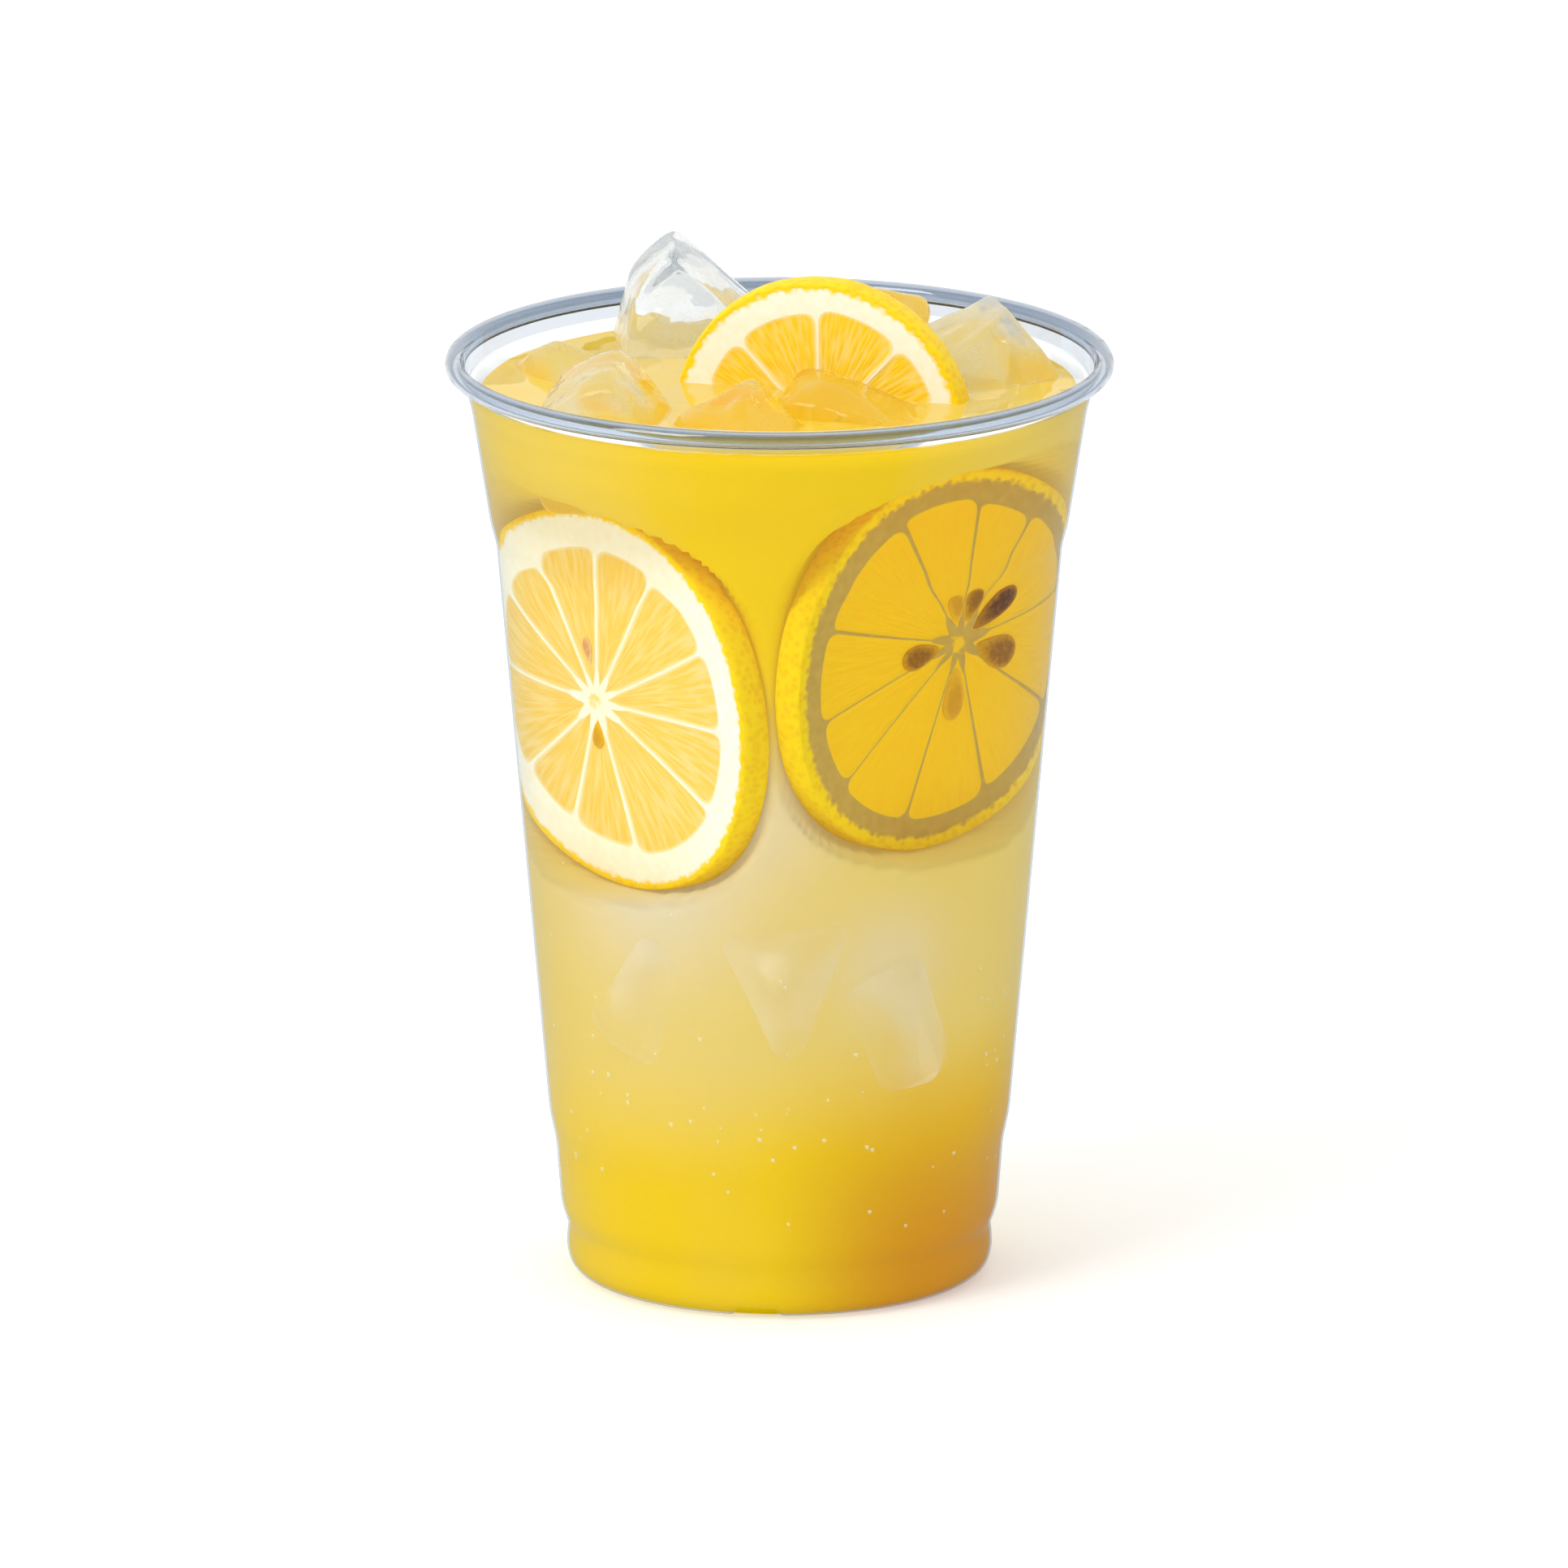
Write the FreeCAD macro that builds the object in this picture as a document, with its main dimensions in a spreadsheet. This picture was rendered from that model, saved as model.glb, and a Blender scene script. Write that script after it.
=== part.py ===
"""A clear cold-drink cup of iced lemonade with three lemon slices, as a parametric FreeCAD document.

Millimetres and degrees. +Z is up, the table is at Z = 0 and the cup's axis is the Z axis.
The front of the drink faces -Y. Bearings run anticlockwise from +X, seen from above.
"""

import FreeCAD
import Part
import Sketcher
import os

Vector = FreeCAD.Vector

# Every driving size: its alias in the sheet, its value and what it is.
CUP_SIZES = [
    ("cup_height", 138.3, "table to the top of the rim"),
    ("wall", 0.55, "thickness of the formed sheet, measured level"),
    ("rim_radius", 49.0, "outside of the rolled rim"),
    ("bead_radius", 1.35, "section radius of the rolled rim"),
    ("neck_radius", 45.1, "outside of the crease under the rim"),
    ("neck_depth", 7.65, "rim top to that crease"),
    ("ledge_top_radius", 42.4, "outside, above the stacking ledge"),
    ("ledge_top_depth", 24.8, "rim top to the top of the ledge"),
    ("ledge_low_radius", 41.5, "outside, below the stacking ledge"),
    ("ledge_low_depth", 28.1, "rim top to the foot of the ledge"),
    ("step_radius", 33.9, "outside, at the bottom of the long wall"),
    ("step_height", 24.6, "table to the bottom of the long wall"),
    ("band_top_radius", 32.9, "outside, at the top of the lower band"),
    ("band_top_height", 19.8, "table to the top of the lower band"),
    ("band_low_radius", 32.3, "outside, where the lower band starts to curl in"),
    ("band_low_height", 12.2, "table to where it starts to curl in"),
    ("groove_radius", 31.0, "outside, at the groove over the foot"),
    ("groove_height", 7.25, "table to the groove"),
    ("foot_radius", 31.3, "outside, at the foot's widest"),
    ("foot_corner", 3.5, "rounding under the foot"),
    ("foot_ring_width", 1.2, "flat ring that stands on the table"),
    ("foot_web", 1.3, "thickness of the foot over that ring"),
    ("base_rise", 2.6, "table to the underside of the base"),
    ("base_slope", 1.6, "level run from the ring to the base"),
    ("notch_width", 6.6, "vent notches across the foot ring"),
    ("notch_depth", 0.65, "how far they reach up"),
    ("notch_bearing", 263.4, "bearing of the front notch"),
]
DRINK_SIZES = [
    ("headspace", 5.0, "rim top to the drink's surface"),
    ("fit_gap", 0.3, "clearance between the drink and what it touches"),
]
SLICE_SIZES = [
    ("slice_gap", 0.7, "clearance between a sunk slice and the wall"),
    ("left_slice_radius", 29.6, "sunk slice at the left"),
    ("left_slice_thickness", 4.4, ""),
    ("left_slice_depth", 41.8, "surface to its centre"),
    ("left_slice_turn", -57.5, "turn of its face from the front"),
    ("left_slice_lean", 5.5, "lean of its top towards the wall"),
    ("right_slice_radius", 29.6, "sunk slice at the right"),
    ("right_slice_thickness", 4.4, ""),
    ("right_slice_depth", 35.3, "surface to its centre"),
    ("right_slice_turn", 52.9, "turn of its face from the front"),
    ("right_slice_lean", 4.5, "lean of its top towards the wall"),
    ("top_slice_radius", 22.8, "half slice that stands out of the drink"),
    ("top_slice_thickness", 4.6, ""),
    ("top_slice_rise", 16.7, "surface to its top"),
    ("top_slice_turn", -19.0, "turn of its face from the front"),
    ("top_slice_right", 6.5, "axis to its centre, along X"),
    ("top_slice_back", -1.0, "axis to its centre, along Y"),
    ("rind_bulge", 0.5, "how far the rind of every slice bows out"),
]
# Each cube: name, three edges, bearing, standoff inside the neck, rise over the surface, yaw, pitch, roll.
# The rise is of the cube's centre, and its angles are measured from the bearing.
ICE_CUBES = [
    ("ice_back_left", 25.0, 24.0, 20.0, 109.5, 13.2, 3.9, -106.0, 13.0, 82.0),
    ("ice_left", 22.0, 21.0, 18.0, 164.5, 15.1, -7.6, -148.0, 25.0, 51.0),
    ("ice_front_left", 20.0, 19.0, 18.0, 215.5, 13.4, -1.8, 154.0, 77.0, 25.0),
    ("ice_front", 19.0, 18.0, 18.0, 258.5, 16.5, -4.4, 104.0, 55.0, 19.0),
    ("ice_front_right", 23.0, 16.0, 9.0, 306.0, 26.9, 1.4, 33.0, -5.0, 0.0),
    ("ice_right", 23.0, 21.0, 19.0, 20.0, 14.2, -0.3, -76.0, 57.0, 0.0),
    ("ice_back", 19.0, 18.0, 17.0, 67.5, 14.5, -2.2, -63.0, 12.0, 38.0),
]
ICE_FIELDS = ("length", "width", "depth", "bearing", "standoff", "rise", "yaw", "pitch", "roll")
ICE_SIZES = [("ice_rounding", 3.0, "melted edges of every cube")]
NOTCHES = 3
WHOLE_TURN = 360
HALF_TURN = 180

# Places that several pieces share, as expressions over the sheet.
RIM_CENTRE_RADIUS = "(Sizes.rim_radius - Sizes.bead_radius)"
RIM_CENTRE_HEIGHT = "(Sizes.cup_height - Sizes.bead_radius)"
LEDGE_TOP_HEIGHT = "(Sizes.cup_height - Sizes.ledge_top_depth)"
LEDGE_LOW_HEIGHT = "(Sizes.cup_height - Sizes.ledge_low_depth)"
NECK_HEIGHT = "(Sizes.cup_height - Sizes.neck_depth)"
SURFACE_HEIGHT = "(Sizes.cup_height - Sizes.headspace)"

ORIGIN = -1  # the index of a sketch's own origin, and of its level axis
UPRIGHT_AXIS = -2
START, END, CENTRE = 1, 2, 3  # the points of a sketched line or arc


def make_sheet(doc):
    """The spreadsheet of every driving size, one to a row."""
    sheet = doc.addObject("Spreadsheet::Sheet", "Sizes")
    rows = CUP_SIZES + DRINK_SIZES + SLICE_SIZES + ICE_SIZES
    for name, *values in ICE_CUBES:
        rows += [(f"{name}_{field}", value, "") for field, value in zip(ICE_FIELDS, values)]
    for number, (alias, value, meaning) in enumerate(rows, start=1):
        sheet.set(f"A{number}", alias)
        sheet.set(f"B{number}", str(value))
        sheet.set(f"C{number}", meaning)
        sheet.setAlias(f"B{number}", alias)
    doc.recompute()
    return sheet


def new_body(doc, name):
    body = doc.addObject("PartDesign::Body", name)
    body.Label = name
    return body


def new_sketch(body, name, role):
    """A sketch on the body's own origin plane of that role."""
    sketch = body.newObject("Sketcher::SketchObject", name)
    plane = next(item for item in body.Origin.OriginFeatures if item.Role == role)
    sketch.AttachmentSupport = (plane, [""])
    sketch.MapMode = "FlatFace"
    return sketch


def bind(sketch, kind, *places, size):
    """A dimension of the sketch whose size is an expression."""
    value = float(sketch.evalExpression(size))
    index = sketch.addConstraint(Sketcher.Constraint(kind, *places, value))
    sketch.setExpression(f"Constraints[{index}]", size)


def pin(sketch, geometry, point, across, up):
    """Fixes a point of the sketch by its distances from the origin."""
    for kind, size in (("DistanceX", across), ("DistanceY", up)):
        if size == "0":
            axis = UPRIGHT_AXIS if kind == "DistanceX" else ORIGIN
            sketch.addConstraint(Sketcher.Constraint("PointOnObject", geometry, point, axis))
        else:
            bind(sketch, kind, ORIGIN, 1, geometry, point, size=size)


def level_arc(start, end, level_with_start, turns_left):
    """An arc from start to end whose centre is level with one of them."""
    near, far = (start, end) if level_with_start else (end, start)
    rise = far.y - near.y
    centre = Vector((far.x**2 - near.x**2 + rise**2) / (2 * (far.x - near.x)), near.y, 0)
    circle = Part.Circle(centre, Vector(0, 0, 1), centre.distanceToPoint(near))
    first, last = (start, end) if turns_left else (end, start)
    return Part.ArcOfCircle(circle, circle.parameter(first), circle.parameter(last))


def draw_outline(sketch, corners):
    """A closed outline through corners of (radius, height, bend).

    The bend says how the side that ends at the corner runs: None for straight, or "start" or "end" for
    the end of an arc that its centre is level with, and "left" or "right" for the way the arc turns.
    """
    spots = [
        Vector(float(sketch.evalExpression(radius)), float(sketch.evalExpression(height)), 0)
        for radius, height, _ in corners
    ]
    ends = []
    for index, (_, _, bend) in enumerate(corners):
        start, end = spots[index - 1], spots[index]
        if bend is None:
            side = sketch.addGeometry(Part.LineSegment(start, end))
            ends.append((side, START, END))
            continue
        level, turn = bend
        arc = level_arc(start, end, level == "start", turn == "left")
        side = sketch.addGeometry(arc)
        first, last = (START, END) if turn == "left" else (END, START)
        sketch.addConstraint(
            Sketcher.Constraint("Horizontal", side, CENTRE, side, first if level == "start" else last)
        )
        ends.append((side, first, last))
    for index, (side, _, last) in enumerate(ends):
        following, first, _ = ends[(index + 1) % len(ends)]
        sketch.addConstraint(Sketcher.Constraint("Coincident", side, last, following, first))
        radius, height, _ = corners[index]
        pin(sketch, side, last, radius, height)


def revolve(body, name, corners, sweep):
    """The outline turned through the sweep about the body's Z axis."""
    sketch = new_sketch(body, f"{name}_section", "XZ_Plane")
    draw_outline(sketch, corners)
    turn = body.newObject("PartDesign::Revolution", f"{name}_turn")
    turn.Profile = sketch
    turn.ReferenceAxis = (sketch, ["V_Axis"])
    turn.Angle = sweep
    return turn


def inner_face(inset, floor_gap):
    """The corners of the cup's inside from the neck down to the axis, moved in by the inset."""
    foot_floor = f"Sizes.foot_web + {floor_gap}"
    base_floor = f"Sizes.base_rise + Sizes.wall + {floor_gap}"
    ring_inside = "Sizes.foot_radius - Sizes.foot_corner - Sizes.foot_ring_width"
    return [
        (f"Sizes.neck_radius - {inset}", NECK_HEIGHT, None),
        (f"Sizes.ledge_top_radius - {inset}", LEDGE_TOP_HEIGHT, None),
        (f"Sizes.ledge_low_radius - {inset}", LEDGE_LOW_HEIGHT, None),
        (f"Sizes.step_radius - {inset}", "Sizes.step_height", None),
        (f"Sizes.band_top_radius - {inset}", "Sizes.band_top_height", None),
        (f"Sizes.band_low_radius - {inset}", "Sizes.band_low_height", None),
        (f"Sizes.groove_radius - {inset}", "Sizes.groove_height", ("start", "right")),
        (f"Sizes.foot_radius - {inset}", "Sizes.foot_corner", ("end", "right")),
        (f"Sizes.foot_radius - {inset} - Sizes.foot_corner + {foot_floor}", foot_floor, ("start", "right")),
        (ring_inside, foot_floor, None),
        (f"{ring_inside} - Sizes.base_slope", base_floor, None),
        ("0", base_floor, None),
    ]


def make_cup(doc):
    """The cup: a thin turned wall with a rolled rim, and a foot ring with three vent notches."""
    body = new_body(doc, "cup")
    ring_outside = "Sizes.foot_radius - Sizes.foot_corner"
    ring_inside = f"{ring_outside} - Sizes.foot_ring_width"
    inside_of_curl = "(Sizes.bead_radius - Sizes.wall)"
    outer_face = [
        ("0", "Sizes.base_rise", None),
        (f"{ring_inside} - Sizes.base_slope", "Sizes.base_rise", None),
        (ring_inside, "0", None),
        (ring_outside, "0", None),
        ("Sizes.foot_radius", "Sizes.foot_corner", ("end", "left")),
        ("Sizes.groove_radius", "Sizes.groove_height", ("start", "left")),
        ("Sizes.band_low_radius", "Sizes.band_low_height", ("end", "left")),
        ("Sizes.band_top_radius", "Sizes.band_top_height", None),
        ("Sizes.step_radius", "Sizes.step_height", None),
        ("Sizes.ledge_low_radius", LEDGE_LOW_HEIGHT, None),
        ("Sizes.ledge_top_radius", LEDGE_TOP_HEIGHT, None),
        ("Sizes.neck_radius", NECK_HEIGHT, None),
    ]
    rolled_rim = [
        (f"{RIM_CENTRE_RADIUS} - {inside_of_curl}", RIM_CENTRE_HEIGHT, None),
        (RIM_CENTRE_RADIUS, f"{RIM_CENTRE_HEIGHT} - {inside_of_curl}", ("start", "right")),
        (RIM_CENTRE_RADIUS, f"{RIM_CENTRE_HEIGHT} - Sizes.bead_radius", None),
        (f"{RIM_CENTRE_RADIUS} - Sizes.bead_radius", RIM_CENTRE_HEIGHT, ("end", "left")),
    ]
    revolve(body, "cup", outer_face + rolled_rim + inner_face("Sizes.wall", "0"), WHOLE_TURN)
    doc.recompute()
    cut_notches(doc, body, ring_inside)
    return body


def cut_notches(doc, body, ring_inside):
    """Vent notches across the foot ring, evenly round the axis."""
    sketch = new_sketch(body, "notch_plan", "XY_Plane")
    sketch.setExpression("AttachmentOffset", "placement(vector(0; 0; 0); rotation(Sizes.notch_bearing; 0; 0))")
    near, far = f"{ring_inside} - Sizes.base_slope", "Sizes.foot_radius"
    half = "Sizes.notch_width / 2"
    draw_outline(
        sketch,
        [(near, f"-{half}", None), (far, f"-{half}", None), (far, half, None), (near, half, None)],
    )
    pocket = body.newObject("PartDesign::Pocket", "notch")
    pocket.Profile = sketch
    pocket.setExpression("Length", "Sizes.notch_depth")
    pocket.Reversed = True
    doc.recompute()
    pattern = body.newObject("PartDesign::PolarPattern", "notches")
    pattern.Originals = [pocket]
    pattern.Axis = (next(item for item in body.Origin.OriginFeatures if item.Role == "Z_Axis"), [""])
    pattern.Angle = WHOLE_TURN
    pattern.Occurrences = NOTCHES
    body.Tip = pattern


def inner_radius_at(height):
    """The inside radius of the long wall at a height, as an expression."""
    flare = "(Sizes.ledge_low_radius - Sizes.step_radius)"
    run = f"({LEDGE_LOW_HEIGHT} - Sizes.step_height)"
    return f"(Sizes.step_radius - Sizes.wall + {flare} * ({height} - Sizes.step_height) / {run})"


def slice_placement(centre, turn, forward, lean, set_back):
    """Stands a flat disc on its edge: its face turned from the front, set forward and leaning out at the top."""
    return (
        f"placement(vector({'; '.join(centre)}); rotation({turn}; 0; 0))"
        f" * placement(vector(0; -{forward}; 0); rotation(0; 0; 90 + {lean}))"
        f" * placement(vector(0; 0; -{set_back}); rotation(0; 0; 0))"
    )


def make_slice(doc, name, placement, sweep):
    """A slice of lemon, its rind bowed out a little. It lies on its own Z = 0 and is turned about its Z."""
    body = new_body(doc, f"lemon_{name}")
    radius, thickness = f"Sizes.{name}_radius", f"Sizes.{name}_thickness"
    edge = f"{radius} - Sizes.rind_bulge"
    outline = [
        ("0", "0", None),
        (edge, "0", None),
        (radius, f"{thickness} / 2", ("end", "left")),
        (edge, thickness, ("start", "left")),
        ("0", thickness, None),
    ]
    revolve(body, name, outline, sweep)
    body.setExpression("Placement", placement)
    return body


def make_sunk_slice(doc, name):
    """A whole slice that rests its two sides on the wall, as far out as the cup's inside lets it."""
    height = f"({SURFACE_HEIGHT} - Sizes.{name}_depth)"
    reach = f"({inner_radius_at(height)} - Sizes.slice_gap)"
    forward = f"sqrt({reach} * {reach} - Sizes.{name}_radius * Sizes.{name}_radius)"
    placement = slice_placement(
        ("0", "0", height),
        f"Sizes.{name}_turn",
        forward,
        f"Sizes.{name}_lean",
        f"Sizes.{name}_thickness",
    )
    return make_slice(doc, name, placement, WHOLE_TURN)


def make_top_slice(doc):
    """The half slice that stands up out of the drink, its cut edge under the surface."""
    height = f"({SURFACE_HEIGHT} + Sizes.top_slice_rise - Sizes.top_slice_radius)"
    placement = slice_placement(
        ("Sizes.top_slice_right", "Sizes.top_slice_back", height),
        "Sizes.top_slice_turn",
        "0",
        "0",
        "Sizes.top_slice_thickness / 2",
    )
    return make_slice(doc, "top_slice", placement, HALF_TURN)


def make_room_for_slice(doc, body, name, sweep):
    """A disc, or half of one, that is larger than the slice by the clearance on every side."""
    room = doc.addObject("Part::Cylinder", f"room_for_{name}")
    room.Angle = sweep
    below = "0" if sweep == WHOLE_TURN else "Sizes.fit_gap"
    room.setExpression("Radius", f"Sizes.{name}_radius + Sizes.fit_gap + {below}")
    room.setExpression("Height", f"Sizes.{name}_thickness + 2 * Sizes.fit_gap")
    shift = f"placement(vector(0; -{below}; -Sizes.fit_gap); rotation(0; 0; 0))"
    room.setExpression("Placement", f"{body.Name}.Placement * {shift}")
    return room


def make_ice(doc, name):
    """A cube of ice with melted edges, centred on its own origin."""
    body = new_body(doc, name)
    box = body.newObject("PartDesign::AdditiveBox", f"{name}_block")
    box.setExpression("Length", f"Sizes.{name}_length")
    box.setExpression("Width", f"Sizes.{name}_width")
    box.setExpression("Height", f"Sizes.{name}_depth")
    half = "; ".join(f"-Sizes.{name}_{edge} / 2" for edge in ("length", "width", "depth"))
    box.setExpression("Placement", f"placement(vector({half}); rotation(0; 0; 0))")
    doc.recompute()
    melted = body.newObject("PartDesign::Fillet", f"{name}_melted")
    melted.Base = (box, [f"Edge{number}" for number in range(1, 13)])
    melted.setExpression("Radius", "Sizes.ice_rounding")
    out = f"Sizes.neck_radius - Sizes.wall - Sizes.{name}_standoff"
    tilt = f"rotation(Sizes.{name}_yaw; Sizes.{name}_pitch; Sizes.{name}_roll)"
    body.setExpression(
        "Placement",
        f"placement(vector(0; 0; {SURFACE_HEIGHT}); rotation(Sizes.{name}_bearing; 0; 0))"
        f" * placement(vector({out}; 0; Sizes.{name}_rise); {tilt})",
    )
    return body


def make_room_for_ice(doc, body):
    """A block that is larger than the cube by the clearance on every side."""
    room = doc.addObject("Part::Box", f"room_for_{body.Name}")
    shifts = []
    for side, edge in (("Length", "length"), ("Width", "width"), ("Height", "depth")):
        size = f"Sizes.{body.Name}_{edge}"
        room.setExpression(side, f"{size} + 2 * Sizes.fit_gap")
        shifts.append(f"-{size} / 2 - Sizes.fit_gap")
    shift = f"placement(vector({'; '.join(shifts)}); rotation(0; 0; 0))"
    room.setExpression("Placement", f"{body.Name}.Placement * {shift}")
    return room


def make_lemonade(doc, rooms):
    """The drink: the cup's inside up to the surface, less the room for the slices and the ice."""
    body = new_body(doc, "drink_body")
    inset = "(Sizes.wall + Sizes.fit_gap)"
    flare = f"({RIM_CENTRE_RADIUS} - Sizes.bead_radius + Sizes.wall - Sizes.neck_radius)"
    climb = f"({SURFACE_HEIGHT} - {NECK_HEIGHT}) / ({RIM_CENTRE_HEIGHT} - {NECK_HEIGHT})"
    surface_radius = f"Sizes.neck_radius - {inset} + {flare} * {climb}"
    surface = [("0", SURFACE_HEIGHT, None), (surface_radius, SURFACE_HEIGHT, None)]
    revolve(body, "drink", surface + inner_face(inset, "Sizes.fit_gap"), WHOLE_TURN)
    all_rooms = doc.addObject("Part::MultiFuse", "room_for_pieces")
    all_rooms.Shapes = rooms
    drink = doc.addObject("Part::Cut", "lemonade")
    drink.Label = "lemonade"
    drink.Base = body
    drink.Tool = all_rooms
    return drink


def check(doc, pieces):
    """Stops if any object failed or any piece's shape is missing, broken or not one solid."""
    for item in doc.Objects:
        if {"Invalid", "Error"} & set(item.State):
            raise RuntimeError(f"{item.Label} did not rebuild: {item.State}")
    for piece in pieces:
        shape = piece.Shape
        if shape.isNull() or not shape.isValid() or len(shape.Solids) != 1:
            raise RuntimeError(f"{piece.Label} is not one valid solid")


def main():
    doc = FreeCAD.newDocument("lemonade_cup")
    make_sheet(doc)
    left = make_sunk_slice(doc, "left_slice")
    right = make_sunk_slice(doc, "right_slice")
    top = make_top_slice(doc)
    cubes = [make_ice(doc, name) for name, *_ in ICE_CUBES]
    rooms = [
        make_room_for_slice(doc, left, "left_slice", WHOLE_TURN),
        make_room_for_slice(doc, right, "right_slice", WHOLE_TURN),
        make_room_for_slice(doc, top, "top_slice", HALF_TURN),
        *(make_room_for_ice(doc, cube) for cube in cubes),
    ]
    pieces = [make_cup(doc), make_lemonade(doc, rooms), left, right, top, *cubes]
    doc.recompute()
    check(doc, pieces)
    os.makedirs("parts", exist_ok=True)
    for piece in pieces:
        piece.Shape.exportStep(f"parts/{piece.Label}.step")
        box = piece.Shape.optimalBoundingBox()
        print(f"{piece.Label}: {piece.Shape.Volume / 1000:.1f} ml, Z {box.ZMin:.2f} to {box.ZMax:.2f}")


main()
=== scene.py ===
"""The looks of a clear cold-drink cup of iced lemonade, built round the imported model.

Shapes are worked out in millimetres and written to meshes in metres. +Z is up and the front faces -Y.
"""

import bpy
import mathutils
import numpy as np
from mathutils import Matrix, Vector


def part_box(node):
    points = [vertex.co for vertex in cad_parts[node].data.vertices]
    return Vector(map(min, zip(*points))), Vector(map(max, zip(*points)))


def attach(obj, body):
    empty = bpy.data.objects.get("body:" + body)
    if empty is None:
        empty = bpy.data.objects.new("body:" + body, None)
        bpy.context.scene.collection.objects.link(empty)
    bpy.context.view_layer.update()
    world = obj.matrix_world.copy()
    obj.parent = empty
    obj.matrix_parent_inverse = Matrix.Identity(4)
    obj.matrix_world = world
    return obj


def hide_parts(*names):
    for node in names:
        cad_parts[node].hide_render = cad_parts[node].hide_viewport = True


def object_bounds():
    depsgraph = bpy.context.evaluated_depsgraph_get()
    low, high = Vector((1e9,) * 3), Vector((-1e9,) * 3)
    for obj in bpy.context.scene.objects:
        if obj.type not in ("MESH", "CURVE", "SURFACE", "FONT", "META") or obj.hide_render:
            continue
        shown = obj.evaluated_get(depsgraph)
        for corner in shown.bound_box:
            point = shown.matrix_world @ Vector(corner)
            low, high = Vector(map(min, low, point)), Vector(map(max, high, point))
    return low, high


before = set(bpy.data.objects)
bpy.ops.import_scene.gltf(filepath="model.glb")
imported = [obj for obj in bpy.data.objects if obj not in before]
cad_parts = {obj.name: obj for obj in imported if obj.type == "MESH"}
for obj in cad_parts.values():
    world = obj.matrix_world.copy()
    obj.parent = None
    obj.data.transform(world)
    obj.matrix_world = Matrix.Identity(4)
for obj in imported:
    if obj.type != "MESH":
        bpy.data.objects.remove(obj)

bl_info = {
    "name": "Cup of iced lemonade",
    "version": (1, 0, 0),
    "blender": (4, 5, 0),
    "location": "3D View > Sidebar > Lemonade",
    "description": "A clear cup of lemonade with lemon slices, ice, seeds and bubbles",
    "category": "Object",
}

MM = 0.001
CAD_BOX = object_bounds()
ROOT = "root"
WHOLE_TURN = 2 * np.pi
# Indexes of refraction.
PET_INDEX, DRINK_INDEX, ICE_INDEX = 1.57, 1.34, 1.31
# Whole slices have this radius in mm, and zest makes up a share of it.
SLICE_RADIUS = 29.6
WHITE = (1.0, 1.0, 1.0, 1.0)

ICE_NODES = sorted(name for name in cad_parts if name.startswith("ice_"))
# Each slice: its turn and lean, its thickness in mm, where its core lies off its middle, the share of the
# radius that its flesh fills, and its segments' membranes, as bearings round the rind in degrees.
SLICES = {
    "lemon_left_slice": {
        "turn": -57.5, "lean": 5.5, "thickness": 4.4, "core": (-3.2, -1.2), "flesh": 0.79,
        "membranes": (27, 63, 91, 121, 148, 180, 220, 246, 276, 323, 356), "finish": "pale",
    },
    "lemon_right_slice": {
        "turn": 52.9, "lean": 4.5, "thickness": 4.4, "core": (3.2, 1.8), "flesh": 0.82,
        "membranes": (12, 53, 79, 113, 162, 196, 224, 259, 293, 330), "finish": "steeped",
    },
    "lemon_top_slice": {
        "turn": -19.0, "lean": 0.0, "thickness": 4.6, "core": (0.0, 0.0), "flesh": 0.80,
        "membranes": (0, 16, 48, 91, 134, 163, 180), "finish": "fresh",
    },
}
HALF_SLICE = "lemon_top_slice"
SUNK_SLICES = ("lemon_left_slice", "lemon_right_slice")
# Each seed: its slice, distance and bearing from the slice's core, length, width (mm, degrees) and skin.
SEEDS = (
    ("lemon_right_slice", 7.2, 33, 9.0, 3.4, "ripe"),
    ("lemon_right_slice", 5.9, 70, 5.6, 2.8, "green"),
    ("lemon_right_slice", 7.0, 188, 7.0, 3.6, "green"),
    ("lemon_right_slice", 7.2, 338, 7.6, 4.8, "green"),
    ("lemon_right_slice", 8.0, 268, 8.0, 3.4, "flat"),
    ("lemon_right_slice", 5.4, 100, 4.6, 2.6, "flat"),
    ("lemon_left_slice", 7.6, 97, 4.2, 1.5, "pale"),
    ("lemon_left_slice", 5.2, 266, 4.4, 1.9, "flat"),
)
# Seed skins: the colour at the crest and at the skirt, where the seed sinks into the flesh.
SEED_SKINS = {
    "ripe": ("#5A3200", "#B87E00"),
    "green": ("#946000", "#D8A000"),
    "flat": ("#D49A10", "#EDB818"),
    "pale": ("#D89A66", "#F6CF8C"),
}
# Each cube sunk in the drink: bearing, distance from the axis, height, edge, and its three turns in degrees.
SUNK_CUBES = (
    (272, 23.2, 53.0, 19.0, 40, 14, 22),
    (304, 22.8, 44.0, 19.0, 50, -12, 12),
    (231, 21.9, 47.0, 19.0, 35, 10, -24),
)
# Haze in the drink: bearing in degrees, height and width in mm, and how white it is at its middle.
HAZES = ((235, 66, 15, 0.75), (268, 78, 11, 0.5), (300, 54, 9, 0.45))
# How far each piece of ice is painted yellow for the drink seen through it, from 0 to 1.
PAINTED_DRINK_TINT = {
    "ice_back_left": 0.12, "ice_right": 0.22, "ice_left": 0.3, "ice_front_left": 0.6, "ice_front": 0.95,
    "ice_front_right": 1.0, "ice_back": 0.9,
}
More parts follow.
